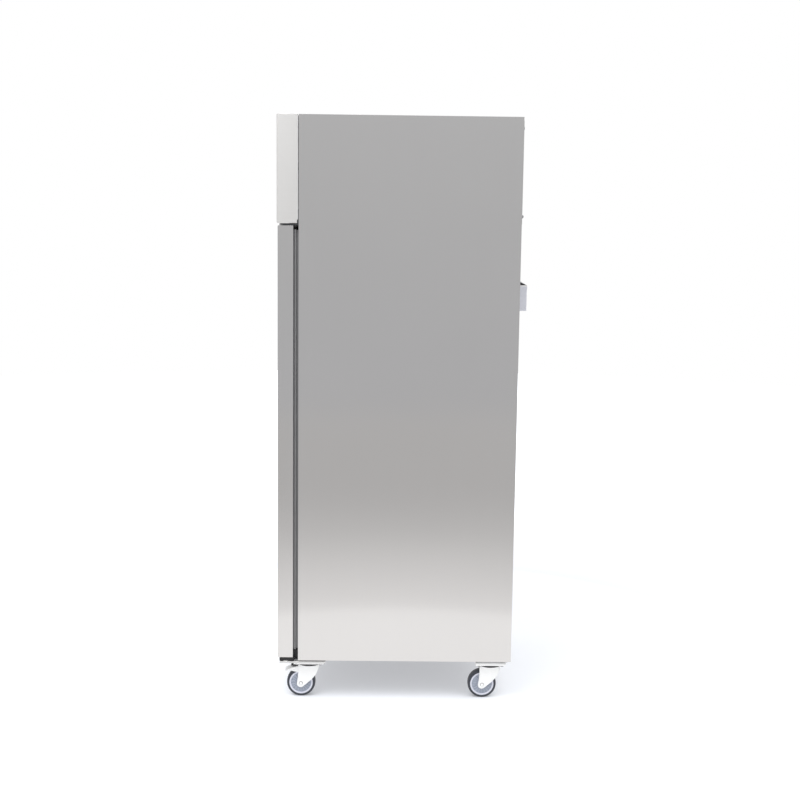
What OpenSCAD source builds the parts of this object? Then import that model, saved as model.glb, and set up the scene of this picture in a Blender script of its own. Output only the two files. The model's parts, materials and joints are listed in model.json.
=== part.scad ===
// Upright storage freezer with a top-mounted refrigeration unit, on four swivel casters.
// The front faces -Y, the door hinges are on the +X side and the floor is at Z = 0.

/* [Cabinet] */
// Outside width of the cabinet
cab_w = 740; // [720:1:790]
// Depth of the side panels, front edge to back
cab_d = 743; // [735:1:790]
// Overall height above the floor
total_h = 2010; // [1980:1:2080]
// Height of the machine compartment above its deck
machine_h = 355; // [345:1:380]
// Thickness of the outer steel sheet
skin_t = 1.2; // [0.8:0.1:1.5]
// Thickness of the inner lining sheet
liner_t = 1; // [0.8:0.1:1.2]
// Width of the folded edges of the side panels
fold_w = 20; // [15:1:24]
// Thickness of the insulated side walls
side_wall = 60; // [50:1:62]
// Thickness of the insulated back wall
back_wall = 60; // [50:1:64]
// Thickness of the insulated floor
floor_wall = 63; // [58:1:70]
// Thickness of the insulated roof
roof_wall = 55; // [50:1:60]
// Corner radius of the inner lining
liner_r = 18; // [12:1:24]

/* [Front] */
// Distance from the face of the front cover back to the side panels
front_zone = 73; // [71:1:78]
// How far the door face lies behind the face of the front cover
door_setback = 3; // [2:0.5:5]
// Thickness of the door without its gasket
door_t = 52; // [46:1:53]
// Gap between the top of the door and the front cover
cover_gap = 8; // [7.5:0.5:12]
// Height of the door's lower edge above the cabinet's underside
door_lift = 11; // [9:1:16]
// Depth of the front cover's folded sides
cover_d = 68; // [62:1:69]
// How far the front cover reaches below the machine deck
cover_drop = 1; // [0:0.5:3]
// Width of the door's grip recess
grip_w = 38; // [34:1:44]
// Depth of the door's grip recess
grip_d = 30; // [24:1:34]
// Width of the lip beside the grip recess
grip_edge = 18; // [14:1:24]
// Width of the return lip inside the grip recess
grip_lip = 12; // [8:1:14]
// Width of the gasket's foot
gasket_w = 20; // [18:1:22]

/* [Hinges and lock] */
// Distance of the hinge pins from the cabinet's side
hinge_in = 18; // [16:1:20]
// Distance of the hinge pins behind the door's face
hinge_back = 27; // [24:1:30]
// Radius of the hinge pins
pin_r = 6; // [5:0.5:7]
// Thickness of the lower hinge plate
hinge_t = 5; // [4:0.5:6]
// Thickness of the upper hinge plate
top_hinge_t = 4; // [3:0.5:4.5]
// Length of a hinge pin inside the door
pin_len = 27; // [20:1:34]
// Radial clearance of pins and shafts
run_gap = 0.05; // [0.02:0.01:0.08]
// Radius of the lock's barrel
barrel_r = 6; // [5:0.5:7]
// Length of the lock's cam
cam_len = 25; // [22:1:28]

/* [Casters] */
// Diameter of the wheels
wheel_d = 100; // [90:1:104]
// Width of the wheels
wheel_w = 32; // [26:1:34]
// Height from the axle to the top of the caster plate
caster_rise = 81; // [79:1:90]
// Distance of the swivel axis behind the axle
trail = 28; // [24:1:32]
// Distance of the wheel's centre plane from the cabinet's side
caster_in = 50; // [46:1:70]
// Distance of the front swivel axes behind the side panels' front edge
caster_front = 37; // [34:1:60]
// Distance of the rear swivel axes in front of the cabinet's back
caster_rear = 69; // [62:1:100]
// Width of the caster plate
plate_w = 85; // [80:1:90]
// Length of the caster plate
plate_l = 105; // [102:1:112]
// Thickness of the caster plate
plate_t = 6; // [5:0.5:7]
// Bolt spacing across the caster plate
bolt_w = 60; // [58:1:64]
// Bolt spacing along the caster plate
bolt_l = 80; // [78:1:86]
// Thickness of the steel pads under the cabinet
pad_t = 6; // [4:0.5:8]

/* [Shelves] */
// Space between a shelf's side and the pilasters
shelf_gap = 33; // [20:1:45]
// Width of the runner under a shelf's edge
runner_lap = 14; // [10:1:20]
// Distance between the shelf wires
wire_pitch = 22; // [18:1:30]
// Distance between the slots of the pilasters
slot_pitch = 65; // [60:1:70]
// Height of the first slot above the compartment's floor
slot_first = 50; // [45:1:60]
// Slot that carries the lowest shelf
shelf_slot = 3; // [2:1:4]
// Slots from one shelf to the next
shelf_step = 5; // [4:1:5]
// How far a shelf slides while the door is shut
shelf_travel = 25; // [10:1:25]

/* [Cooling] */
// Depth of the evaporator cover, front to back
evap_d = 510; // [490:1:520]
// Width of the evaporator coil's fins
coil_w = 440; // [380:10:460]
// Width of the condenser
cond_w = 360; // [340:5:380]
// Height of the condenser's fins
cond_h = 260; // [250:5:270]
// Height of the evaporator cover below the roof lining
evap_h = 120; // [118:1:140]
// Radius of the evaporator fan's opening
evap_hole_r = 85; // [80:1:90]
// Radius of the condenser fan's opening
cond_hole_r = 122; // [110:1:126]
// Running gap around the fan blades
blade_gap = 8; // [5:1:14]
// Spacing of the fins
fin_pitch = 10; // [8:0.5:14]
// Radius of the compressor's shell
comp_r = 95; // [85:1:98]
// Height of the compressor's shell
comp_h = 200; // [180:1:220]
// Projection of the condensate tray from the cabinet's back
tray_out = 36; // [34:1:50]
// Width of the condensate tray
tray_w = 500; // [400:1:600]
// Height of the condensate tray
tray_h = 88; // [70:1:110]
// Radius of the drain tube
drain_r = 10; // [8:0.5:12]

/* [Controls] */
// Width of the controller's face
panel_w = 78; // [74:1:90]
// Height of the controller's face
panel_h = 36; // [34:1:44]
// Radius of the push buttons
button_r = 4.2; // [3.5:0.1:4.6]
// Travel of the push buttons
button_travel = 0.8; // [0.5:0.1:1]
// Angle through which the rocker switch tips
rocker_deg = 12; // [8:1:14]
// Bore radius of the mains cable gland
gland_r = 4.5; // [3.5:0.1:5.5]

/* [Hidden] */
$fn = 48;
cut = 1;

// Colours
steel = [0.72, 0.72, 0.73];
dull_steel = [0.6, 0.61, 0.63];
zinc = [0.88, 0.89, 0.91];
foam_yellow = [0.93, 0.85, 0.62];
dark_grey = [0.25, 0.26, 0.28];
black = [0.08, 0.08, 0.09];
copper = [0.78, 0.46, 0.3];
white = [0.93, 0.94, 0.95];

// Levels
plate_top = wheel_d / 2 + caster_rise;
base_z = plate_top + hinge_t + pad_t;
deck_z = total_h - machine_h;
cover_z0 = deck_z - cover_drop;
door_z0 = base_z + door_lift;
door_z1 = cover_z0 - cover_gap;
cav_z0 = base_z + floor_wall;
cav_z1 = deck_z - roof_wall;

// Depth positions
y_front = -(front_zone + cab_d + tray_out) / 2;
y_face = y_front + front_zone;
y_back = y_face + cab_d;
door_y0 = y_front + door_setback;
door_y1 = door_y0 + door_t;
cav_y1 = y_back - back_wall;

// Width positions
x_side = cab_w / 2;
x_fold = x_side - fold_w;
x_in = x_side - skin_t;
cav_x = x_side - side_wall;

// Hinge and gasket
hinge_x = x_side - hinge_in;
hinge_y = door_y0 + hinge_back;
seat_gap = 0.3;
bead = 3;
gasket_in = hinge_in + bead;
foot_in = gasket_in + bead;
panel_in = foot_in + gasket_w + 8;
collar_r = 2 * pin_r;
bush_r = pin_r + 4;
bush_flange_t = 1.5;
block_r = 31;
heel_gap = 2;

module box(x0, x1, y0, y1, z0, z1) {
    translate([x0, y0, z0]) cube([x1 - x0, y1 - y0, z1 - z0]);
}

// Extrudes an outline given in X and Z from y0 to y1
module along_y(y0, y1) {
    translate([0, y1, 0]) rotate([90, 0, 0]) linear_extrude(y1 - y0) children();
}

// Extrudes an outline given in Y and Z from x0 to x1
module along_x(x0, x1) {
    translate([x0, 0, 0]) rotate([90, 0, 90]) linear_extrude(x1 - x0) children();
}

module rod_x(x0, x1, y, z, r) {
    translate([x0, y, z]) rotate([0, 90, 0]) cylinder(h = x1 - x0, r = r);
}

module rod_y(x, y0, y1, z, r) {
    translate([x, y0, z]) rotate([-90, 0, 0]) cylinder(h = y1 - y0, r = r);
}

module rod_z(x, y, z0, z1, r) {
    translate([x, y, z0]) cylinder(h = z1 - z0, r = r);
}

module rect(x0, x1, y0, y1) {
    translate([x0, y0]) square([x1 - x0, y1 - y0]);
}

// Rectangle with round corners
module round_rect(x0, x1, y0, y1, r) {
    rect(x0 + r, x1 - r, y0, y1);
    rect(x0, x1, y0 + r, y1 - r);
    for (x = [x0 + r, x1 - r], y = [y0 + r, y1 - r]) translate([x, y]) circle(r);
}

module both_sides() {
    children();
    mirror([1, 0, 0]) children();
}

// Tube along straight runs, with a ball at each turn
module pipe_run(points, r) {
    for (i = [0:len(points) - 2]) {
        run = points[i + 1] - points[i];
        length = norm(run);
        translate(points[i])
            rotate([0, acos(run[2] / length), atan2(run[1], run[0])])
                cylinder(h = length, r = r);
        if (i > 0) translate(points[i]) sphere(r);
    }
}

// Flat grille of rings and spokes
module ring_grille(r, rings, bar) {
    for (i = [1:rings]) difference() {
        circle(i * r / (rings + 1) + bar / 2);
        circle(i * r / (rings + 1) - bar / 2);
    }
    for (a = [0, 45, 90, 135]) rotate(a) square([2 * r, bar], center = true);
}

// Fan blades around a bored hub, with the shaft along Z
module blades(r, hub_r, hub_h, shaft_r, count, chord, sheet) {
    difference() {
        union() {
            translate([0, 0, -hub_h / 2]) cylinder(h = hub_h, r = hub_r);
            intersection() {
                cylinder(h = 2 * chord, r = r, center = true);
                for (i = [0:count - 1]) rotate([0, 0, i * 360 / count]) rotate([25, 0, 0])
                    translate([hub_r - 2, -chord / 2, -sheet / 2]) cube([r, chord, sheet]);
            }
        }
        cylinder(h = 2 * chord + hub_h, r = shaft_r + run_gap, center = true);
    }
}

// Half-round bends that join the tubes of a coil, in the Y and Z plane
module return_bend(x, y, z, bend_r, r, way, turn) {
    translate([x, y, z]) rotate([turn, 0, 0]) rotate([0, 0, way > 0 ? -90 : 90])
        rotate_extrude(angle = 180) translate([bend_r, 0]) circle(r);
}

// Cabinet
module side_shell() {
    difference() {
        box(x_fold, x_side, y_face, y_back, base_z, total_h);
        box(x_fold - cut, x_in, y_face + skin_t, y_back - skin_t, base_z + skin_t, total_h - skin_t);
        for (z = screw_zs) rod_y(screw_x, y_back - skin_t - cut, y_back + cut, z, screw_r + screw_gap);
    }
}

module side_panels() {
    color(steel) both_sides() side_shell();
}

drain_z = cav_z1 - evap_h + 16;

module drain_hole(r) {
    rod_y(0, y_face, y_back + cut, drain_z, r);
}

suction_r = 6;
liquid_r = 4;
pipe_gap = 0.5;
suction_x = 140;
liquid_x = 100;
suction_y = cav_y1 - 40;
liquid_y = cav_y1 - 20;

module pipe_holes() {
    rod_z(suction_x, suction_y, cav_z1 - cut, deck_z + cut, suction_r + pipe_gap);
    rod_z(liquid_x, liquid_y, cav_z1 - cut, deck_z + cut, liquid_r + pipe_gap);
}

module back_panel() {
    color(steel) difference() {
        box(-x_fold, x_fold, y_back - skin_t, y_back, base_z, deck_z);
        drain_hole(drain_r);
    }
}

module bottom_panel() {
    color(steel) box(-x_fold, x_fold, y_face + skin_t, y_back - skin_t, base_z, base_z + skin_t);
}

module deck_panel() {
    color(steel) difference() {
        box(-x_in, x_in, y_face + skin_t, y_back - skin_t, deck_z - skin_t, deck_z);
        pipe_holes();
    }
}

module cavity(grow) {
    round_rect(-cav_x - grow, cav_x + grow, cav_z0 - grow, cav_z1 + grow, liner_r + grow);
}

module front_frame() {
    color(steel) along_y(y_face, y_face + skin_t) difference() {
        rect(-x_fold, x_fold, base_z, deck_z);
        cavity(0);
    }
}

module foam_insulation() {
    color(foam_yellow) difference() {
        box(-x_in, x_in, y_face + skin_t, y_back - skin_t, base_z + skin_t, deck_z - skin_t);
        along_y(y_face, cav_y1 + liner_t)
            rect(-cav_x - liner_t, cav_x + liner_t, cav_z0 - liner_t, cav_z1 + liner_t);
        drain_hole(drain_r);
        pipe_holes();
    }
}

module inner_liner() {
    color(steel) difference() {
        along_y(y_face + skin_t, cav_y1 + liner_t) cavity(liner_t);
        along_y(y_face, cav_y1) cavity(0);
        drain_hole(drain_r);
        pipe_holes();
    }
}

rail_h = 45;
rail_d = 30;
cover_axis_y = y_face - 9;
cover_axis_z = total_h - 6;
cover_pin_r = 3;
bracket_x = x_side - 75;
bracket_t = 4;

module rail(z0) {
    difference() {
        box(-x_in, x_in, y_face + skin_t, y_face + rail_d, z0, z0 + rail_h);
        box(-x_side, x_side, y_face + 2 * skin_t, y_face + rail_d + cut, z0 + skin_t, z0 + rail_h - skin_t);
    }
    box(-x_fold, x_fold, y_face, y_face + skin_t, z0, z0 + rail_h);
}

// Hook-shaped bracket and pin that carry the front cover
module cover_bracket() {
    along_x(bracket_x, bracket_x + bracket_t) {
        translate([cover_axis_y, cover_axis_z]) circle(4.5);
        rect(cover_axis_y - 4.5, cover_axis_y + 4.5, cover_axis_z - 20, cover_axis_z);
        rect(cover_axis_y - 4.5, y_face, cover_axis_z - 20, cover_axis_z - 9);
    }
    rod_x(bracket_x, bracket_x + 14, cover_axis_y, cover_axis_z, cover_pin_r);
}

module cross_rails() {
    color(dull_steel) {
        rail(deck_z);
        rail(total_h - skin_t - rail_h);
        both_sides() cover_bracket();
    }
}

// Base
caster_x = x_side - caster_in;
front_swivel = y_face + caster_front;
rear_swivel = y_back - caster_rear;
bolt_r = 4;
bolt_gap = 0.1;
pad_inset = 12;

module bolt_holes(swivel) {
    for (x = [-1, 1] * bolt_w / 2, y = [-1, 1] * bolt_l / 2)
        rod_z(caster_x + x, swivel + y, plate_top - plate_t - cut, base_z + cut, bolt_r + bolt_gap);
}

module plate_block(swivel, z0, z1) {
    box(caster_x - plate_w / 2, caster_x + plate_w / 2,
        swivel - plate_l / 2, swivel + plate_l / 2, z0, z1);
}

module pad_block(swivel) {
    difference() {
        box(caster_x - plate_w / 2 - 6, min(caster_x + plate_w / 2, x_side - pad_inset),
            swivel - bolt_l / 2 - 7, swivel + plate_l / 2 + 6, base_z - pad_t, base_z);
        bolt_holes(swivel);
    }
}

module base_plates() {
    color(dull_steel) both_sides() {
        pad_block(front_swivel);
        pad_block(rear_swivel);
        difference() {
            plate_block(rear_swivel, plate_top, plate_top + hinge_t);
            bolt_holes(rear_swivel);
        }
    }
}

hinge_z = plate_top + hinge_t;
plate_side = x_side - 3;
plate_setback = 5.5;
collar_h = 3;
block_h = door_z0 - hinge_z - collar_h - seat_gap;

module bottom_hinge() {
    color(zinc) {
        difference() {
            box(caster_x - plate_w / 2 + 4, plate_side,
                door_y0 + plate_setback, front_swivel + plate_l / 2 + 7, plate_top, hinge_z);
            bolt_holes(front_swivel);
        }
        rod_z(hinge_x, hinge_y, hinge_z, hinge_z + collar_h, collar_r);
        rod_z(hinge_x, hinge_y, hinge_z, door_z0 + pin_len, pin_r);
    }
}

top_gap = 0.5;
top_hinge_z = door_z1 + bush_flange_t + top_gap;
top_leg_t = 4.5;
top_leg_h = rail_h + cover_drop + cover_gap - bush_flange_t - top_gap;

module top_hinge() {
    color(zinc) {
        translate([0, 0, top_hinge_z]) linear_extrude(top_hinge_t) polygon([
            [x_fold - 60, y_face], [x_fold - 60, hinge_y - 8], [x_fold - 45, hinge_y - hinge_back + 5],
            [plate_side - 12, hinge_y - hinge_back + 5], [plate_side, hinge_y - hinge_back + 14],
            [plate_side, y_face]]);
        box(x_fold - 60, plate_side, y_face - top_leg_t, y_face, top_hinge_z, top_hinge_z + top_leg_h);
        rod_z(hinge_x, hinge_y, door_z1 - pin_len, top_hinge_z + top_hinge_t, pin_r);
    }
}

lock_x = -(x_side - 75);
lock_z = door_z0 + 12;
case_r = barrel_r + 3;
case_flange_r = case_r + 2;
cam_w = 10;
cam_t = 3;
cam_y = door_y1 + 1.5;
keeper_y = cam_y - 5;

module lock_keeper() {
    color(zinc) {
        difference() {
            box(-plate_side, -(caster_x - plate_w / 2), keeper_y - 3, front_swivel + plate_l / 2,
                plate_top, hinge_z);
            mirror([1, 0, 0]) bolt_holes(front_swivel);
        }
        box(lock_x - 15, lock_x + 15, keeper_y - 3, keeper_y, hinge_z, door_z0 - 3);
    }
}

// Storage compartment
pil_w = 28;
pil_d = 12;
pil_t = 1.5;
slot_w = 10;
slot_h = 6;
pil_y = [y_face + 110, cav_y1 - 110];
pil_z0 = cav_z0 + 25;
pil_z1 = cav_z1 - evap_h - 20;
slots = floor((pil_z1 - cav_z0 - slot_first - slot_h) / slot_pitch) + 1;
runner_t = 1.5;
runner_x = cav_x - pil_d;
runner_y0 = y_face + 20;
runner_y1 = cav_y1 - 6;
stop_t = 2;
shelf_y0 = y_face + shelf_travel - seat_gap;
shelf_y1 = runner_y1 - stop_t - seat_gap;
shelf_x = runner_x - shelf_gap;
runner_h = 22;
hook_h = 4;
hook_rise = 8;
frame_r = 4;
cross_r = 2.5;
wire_r = 2;

function slot_z(i) = cav_z0 + slot_first + i * slot_pitch;
function shelf_z(k) = slot_z(shelf_slot + k * shelf_step) - hook_rise;

module pilaster(y) {
    difference() {
        box(cav_x - pil_d, cav_x, y - pil_w / 2, y + pil_w / 2, pil_z0, pil_z1);
        box(cav_x - pil_d + pil_t, cav_x + cut, y - pil_w / 2 + pil_t, y + pil_w / 2 - pil_t,
            pil_z0 - cut, pil_z1 + cut);
        for (i = [0:slots - 1])
            box(cav_x - pil_d - cut, cav_x - pil_d + pil_t + cut, y - slot_w / 2, y + slot_w / 2,
                slot_z(i), slot_z(i) + slot_h);
    }
}

module pilasters() {
    color(dull_steel) both_sides() for (y = pil_y) pilaster(y);
}

module runner(k) {
    z = shelf_z(k);
    lip_x = shelf_x - runner_lap;
    box(lip_x, runner_x, runner_y0, runner_y1, z - runner_t, z);
    box(runner_x - runner_t, runner_x, runner_y0, runner_y1, z - runner_t, z + runner_h);
    box(lip_x, runner_x, runner_y1 - stop_t, runner_y1, z - runner_t, z + runner_h / 2);
    for (y = pil_y) box(runner_x - runner_t, runner_x + pil_d / 2, y - slot_w / 3, y + slot_w / 3,
        z + hook_rise, z + hook_rise + hook_h);
}

module shelf_runners() {
    color(dull_steel) both_sides() for (k = [0:2]) runner(k);
}

module shelf(k) {
    z = shelf_z(k);
    x = shelf_x - frame_r;
    y0 = shelf_y0 + frame_r;
    y1 = shelf_y1 - frame_r;
    wires = floor((2 * x - wire_pitch / 2) / wire_pitch);
    color(zinc) {
        for (side = [-x, x]) rod_y(side, y0, y1, z + frame_r, frame_r);
        for (end = [y0, y1]) rod_x(-x, x, end, z + frame_r, frame_r);
        for (side = [-x, x], end = [y0, y1]) translate([side, end, z + frame_r]) sphere(frame_r);
        for (part = [1, 2]) rod_x(-x, x, y0 + part * (y1 - y0) / 3, z + cross_r, cross_r);
        for (i = [0:wires - 1])
            rod_y((i - (wires - 1) / 2) * wire_pitch, y0, y1, z + 2 * frame_r - wire_r, wire_r);
    }
}

module shelf_1() { shelf(0); }
module shelf_2() { shelf(1); }
module shelf_3() { shelf(2); }

lamp_w = 180;
lamp_d = 30;
lamp_base = 8;
lamp_in = 38;

module interior_lamp() {
    y = y_face + lamp_in;
    lens_r = lamp_d / 2 - 2;
    color(white) along_x(-lamp_w / 2, lamp_w / 2) {
        rect(y - lamp_d / 2, y + lamp_d / 2, cav_z1 - lamp_base, cav_z1);
        translate([y, cav_z1 - lamp_base]) intersection() {
            circle(lens_r);
            rect(-lens_r, lens_r, -lens_r + 4, cut);
        }
    }
}

// Evaporator under the roof of the compartment
evap_z0 = cav_z1 - evap_h;
evap_x = cav_x - 26;
evap_y0 = cav_y1 - evap_d;
coil_x = coil_w / 2;
coil_y0 = cav_y1 - 260;
coil_y1 = cav_y1 - 60;
coil_z0 = cav_z1 - 90;
coil_z1 = cav_z1 - 10;
coil_end = 1.5;
fin_t = 0.8;
fin_edge = 4;
bend_r = 12.5;
tube_r = 5;
pan_x = 245;
pan_y0 = cav_y1 - 275;
pan_y1 = cav_y1 - 45;
pan_h = 25;
evap_fan_y = cav_y1 - 390;
evap_blade_z = cav_z1 - 90;
shaft_r = 3;
evap_chord = 38;
cond_chord = 54;
blade_t = 1.5;

// Finned block with its end plates, the fins square to X
module finned_block(x0, x1, y0, y1, z0, z1, foot_z, top_z) {
    fins = floor((x1 - x0) / fin_pitch);
    step = (x1 - x0) / fins;
    box(x0, x1, y0 + fin_edge, y1 - fin_edge, z0 + fin_edge, z1 - fin_edge);
    for (i = [1:fins - 1]) box(x0 + i * step - fin_t / 2, x0 + i * step + fin_t / 2, y0, y1, z0, z1);
    box(x0 - coil_end, x0, y0, y1, foot_z, top_z);
    box(x1, x1 + coil_end, y0, y1, foot_z, top_z);
}

evap_tap_y = coil_y1 - 25;
evap_tap_z = coil_z0 + 58;

module evaporator_coil() {
    color(dull_steel) {
        finned_block(-coil_x, coil_x, coil_y0, coil_y1, coil_z0, coil_z1, coil_z0 - 5, cav_z1);
        for (i = [0:2], z = [coil_z0 + 22, evap_tap_z], side = [-1, 1])
            return_bend(side * (coil_x + coil_end - 0.5), coil_y0 + 32.5 + 50 * i, z, bend_r, tube_r, side, 0);
    }
}

module evaporator_cover() {
    color(steel) {
        difference() {
            box(-evap_x, evap_x, evap_y0, cav_y1, evap_z0, cav_z1);
            box(-evap_x + skin_t, evap_x - skin_t, evap_y0 + skin_t, cav_y1 + cut, evap_z0 + skin_t, cav_z1 + cut);
            rod_z(0, evap_fan_y, evap_z0 - cut, evap_z0 + 2 * skin_t, evap_hole_r);
            box(-pan_x, pan_x, cav_y1 - 32, cav_y1 - 10, evap_z0 - cut, evap_z0 + 2 * skin_t);
        }
        translate([0, evap_fan_y, evap_z0]) linear_extrude(skin_t) ring_grille(evap_hole_r + 1, 5, 3);
        difference() {
            box(-pan_x, pan_x, pan_y0, pan_y1, evap_z0 + skin_t, evap_z0 + skin_t + pan_h);
            box(-pan_x + skin_t, pan_x - skin_t, pan_y0 + skin_t, pan_y1 - skin_t,
                evap_z0 + 2 * skin_t, evap_z0 + skin_t + pan_h + cut);
            rod_y(0, pan_y1 - 2 * skin_t, pan_y1 + cut, drain_z, drain_r - 2);
        }
    }
}

// Condensing unit on the deck
unit_top = deck_z + 20;
base_side = 30;
base_front = 20;
base_rear = 45;
base_t = 2;
cond_x1 = x_side - 70;
cond_x0 = cond_x1 - cond_w;
cond_y0 = y_face + 100;
cond_y1 = cond_y0 + 60;
cond_z0 = deck_z + 35;
cond_z1 = cond_z0 + cond_h;
cond_x = (cond_x0 + cond_x1) / 2;
cond_z = (cond_z0 + cond_z1) / 2;
cond_y = (cond_y0 + cond_y1) / 2;
cond_bend_r = 16;
shroud_d = 40;
shroud_y1 = cond_y1 + shroud_d;
fan_y = shroud_y1 - 4;
motor_y0 = shroud_y1 + 36;
comp_x = 130;
comp_y = shroud_y1 + 270;
foot_h = 15;
comp_z0 = unit_top + foot_h + 3;
port_z = comp_z0 + 67;
pump_foot_x = comp_r - 10;
pump_foot_y = comp_r - 30;

module fan_motors() {
    color(dark_grey) {
        rod_z(0, evap_fan_y, evap_blade_z + 22, evap_blade_z + 70, 32);
        rod_z(0, evap_fan_y, evap_blade_z - 10, evap_blade_z + 23, shaft_r);
        box(-70, 70, evap_fan_y - 18, evap_fan_y + 18, evap_blade_z + 70, evap_blade_z + 72);
        for (side = [-70, 68])
            box(side, side + 2, evap_fan_y - 18, evap_fan_y + 18, evap_blade_z + 70, cav_z1);
        rod_y(cond_x, motor_y0, motor_y0 + 52, cond_z, 35);
        rod_y(cond_x, fan_y - 14, motor_y0 + 1, cond_z, shaft_r);
        box(cond_x - 150, cond_x + 150, motor_y0 - 3, motor_y0, cond_z - 12, cond_z + 12);
        for (side = [-150, 147])
            box(cond_x + side, cond_x + side + 3, shroud_y1, motor_y0, cond_z - 12, cond_z + 12);
    }
}

module evaporator_fan_blade() {
    color(black) translate([0, evap_fan_y, evap_blade_z])
        blades(evap_hole_r - blade_gap, 14, 20, shaft_r, 7, evap_chord, blade_t);
}

module condenser_fan_blade() {
    color(black) translate([cond_x, fan_y, cond_z]) rotate([90, 0, 0])
        blades(cond_hole_r - blade_gap, 18, 24, shaft_r, 5, cond_chord, blade_t);
}

module unit_base() {
    color(dark_grey) difference() {
        box(cond_x0 - base_side, cond_x1 + base_side, cond_y0 - base_front, comp_y + comp_r + base_rear,
            deck_z, unit_top);
        box(cond_x0 - base_side + base_t, cond_x1 + base_side - base_t, cond_y0 - base_front + base_t,
            comp_y + comp_r + base_rear - base_t, deck_z - cut, unit_top - base_t);
    }
}

module compressor() {
    color(black) {
        translate([comp_x, comp_y, comp_z0]) rotate_extrude()
            intersection() {
                round_rect(-comp_r, comp_r, 0, comp_h, 34);
                rect(0, comp_r, 0, comp_h);
            }
        box(comp_x - pump_foot_x - 15, comp_x + pump_foot_x + 15,
            comp_y - pump_foot_y - 15, comp_y + pump_foot_y + 15, comp_z0 - 3, comp_z0);
        rod_z(comp_x, comp_y, comp_z0 - 1, comp_z0 + 1, comp_r - 40);
        box(comp_x - comp_r - 22, comp_x, comp_y - 27, comp_y + 27, comp_z0 + 60, comp_z0 + 130);
        rod_y(liquid_x, comp_y - comp_r - 25, comp_y, port_z, suction_r + 1.5);
        rod_y(suction_x, comp_y, comp_y + comp_r + 15, port_z, suction_r + 2);
    }
    color(dark_grey) for (x = [-1, 1] * pump_foot_x, y = [-1, 1] * pump_foot_y) {
        rod_z(comp_x + x, comp_y + y, unit_top, comp_z0 - 3, 12);
        translate([comp_x + x, comp_y + y, comp_z0]) cylinder(h = 6, r = 7, $fn = 6);
    }
}

module condenser_coil() {
    color(dull_steel) {
        finned_block(cond_x0 + coil_end, cond_x1 - coil_end, cond_y0, cond_y1, cond_z0, cond_z1,
            unit_top, cond_z1);
        for (i = [0:2], side = [-1, 1])
            return_bend(side > 0 ? cond_x1 - 0.5 : cond_x0 + 0.5, cond_y, cond_z0 + 66 + 64 * i,
                cond_bend_r, tube_r, side, 90);
    }
}

module condenser_shroud() {
    color(dark_grey) difference() {
        box(cond_x0, cond_x1, cond_y1, shroud_y1, unit_top, cond_z1 + 5);
        box(cond_x0 + 1.5, cond_x1 - 1.5, cond_y1 - cut, shroud_y1 - 1.5, unit_top + 1.5, cond_z1 + 3.5);
        rod_y(cond_x, cond_y1, shroud_y1 + cut, cond_z, cond_hole_r);
    }
}

riser_x = cond_x1 + 18;
hot_z = cond_z1 - 15;
warm_z = cond_z0 + 15;
drier_y0 = cond_y1 + 33;
drier_y1 = drier_y0 + 120;
evap_side_z = evap_tap_z - 20;

module refrigerant_pipes() {
    color(copper) {
        pipe_run([[liquid_x, comp_y - comp_r - 25, port_z], [liquid_x, comp_y - comp_r - 37, port_z],
            [riser_x, comp_y - comp_r - 37, port_z], [riser_x, comp_y - comp_r - 37, hot_z],
            [riser_x, cond_y, hot_z], [cond_x1, cond_y, hot_z]], liquid_r);
        pipe_run([[cond_x1, cond_y, warm_z], [riser_x, cond_y, warm_z], [riser_x, drier_y0 + 4, warm_z]],
            liquid_r);
        rod_y(riser_x, drier_y0, drier_y1, warm_z, 12);
        pipe_run([[riser_x, drier_y1 - 4, warm_z], [riser_x, liquid_y, warm_z], [liquid_x, liquid_y, warm_z],
            [liquid_x, liquid_y, evap_side_z], [-coil_x - 30, liquid_y, evap_side_z],
            [-coil_x - 30, evap_tap_y, evap_side_z], [-coil_x - coil_end, evap_tap_y, evap_side_z]], liquid_r);
        pipe_run([[coil_x + coil_end, evap_tap_y, evap_tap_z], [coil_x + 30, evap_tap_y, evap_tap_z],
            [coil_x + 30, suction_y, evap_tap_z], [suction_x, suction_y, evap_tap_z],
            [suction_x, suction_y, port_z], [suction_x, comp_y + comp_r + 15, port_z]], suction_r);
    }
}

wire_room = 80;
box_d = 78;
box_x0 = -x_side + 30;
box_x1 = cond_x0 - wire_room;
box_y0 = y_face + rail_d + 5;
box_y1 = box_y0 + box_d;
box_z0 = deck_z + 45;
box_z1 = box_z0 + 180;

module control_box() {
    color(dull_steel) {
        along_y(box_y0, box_y1) round_rect(box_x0, box_x1, box_z0, box_z1, 6);
        for (x = [box_x0 + 12, box_x1 - 32]) box(x, x + 20, box_y0, box_y1, deck_z, box_z0 + 1);
    }
}

gland_x = box_x0 + 90;
gland_z = deck_z + 65;
gland_body_r = gland_r + 4.5;
gland_in = 14;
cable_r = 5;

module wiring() {
    color(dark_grey) {
        pipe_run([[box_x1, box_y1 - 40, gland_z + 10], [box_x1 + 35, box_y1 - 40, gland_z + 10],
            [box_x1 + 35, motor_y0 + 77, gland_z + 10], [cond_x, motor_y0 + 77, gland_z + 10],
            [cond_x, motor_y0 + 77, cond_z], [cond_x, motor_y0 + 52, cond_z]], cable_r);
        pipe_run([[box_x1, box_y1 - 30, port_z + 30], [box_x1 + 20, box_y1 - 30, port_z + 30],
            [box_x1 + 20, comp_y, port_z + 30], [comp_x - comp_r - 22, comp_y, port_z + 30]], cable_r);
        rod_y(gland_x, box_y1, y_back - gland_in, gland_z, cable_r);
    }
}

// Back of the cabinet
cover_back_z0 = deck_z + 4;
cover_back_z1 = total_h - 12;
screw_x = x_side - fold_w / 2;
screw_zs = [cover_back_z0 + 25, cover_back_z1 - 25];
screw_r = 2.5;
screw_gap = 0.1;

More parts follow.
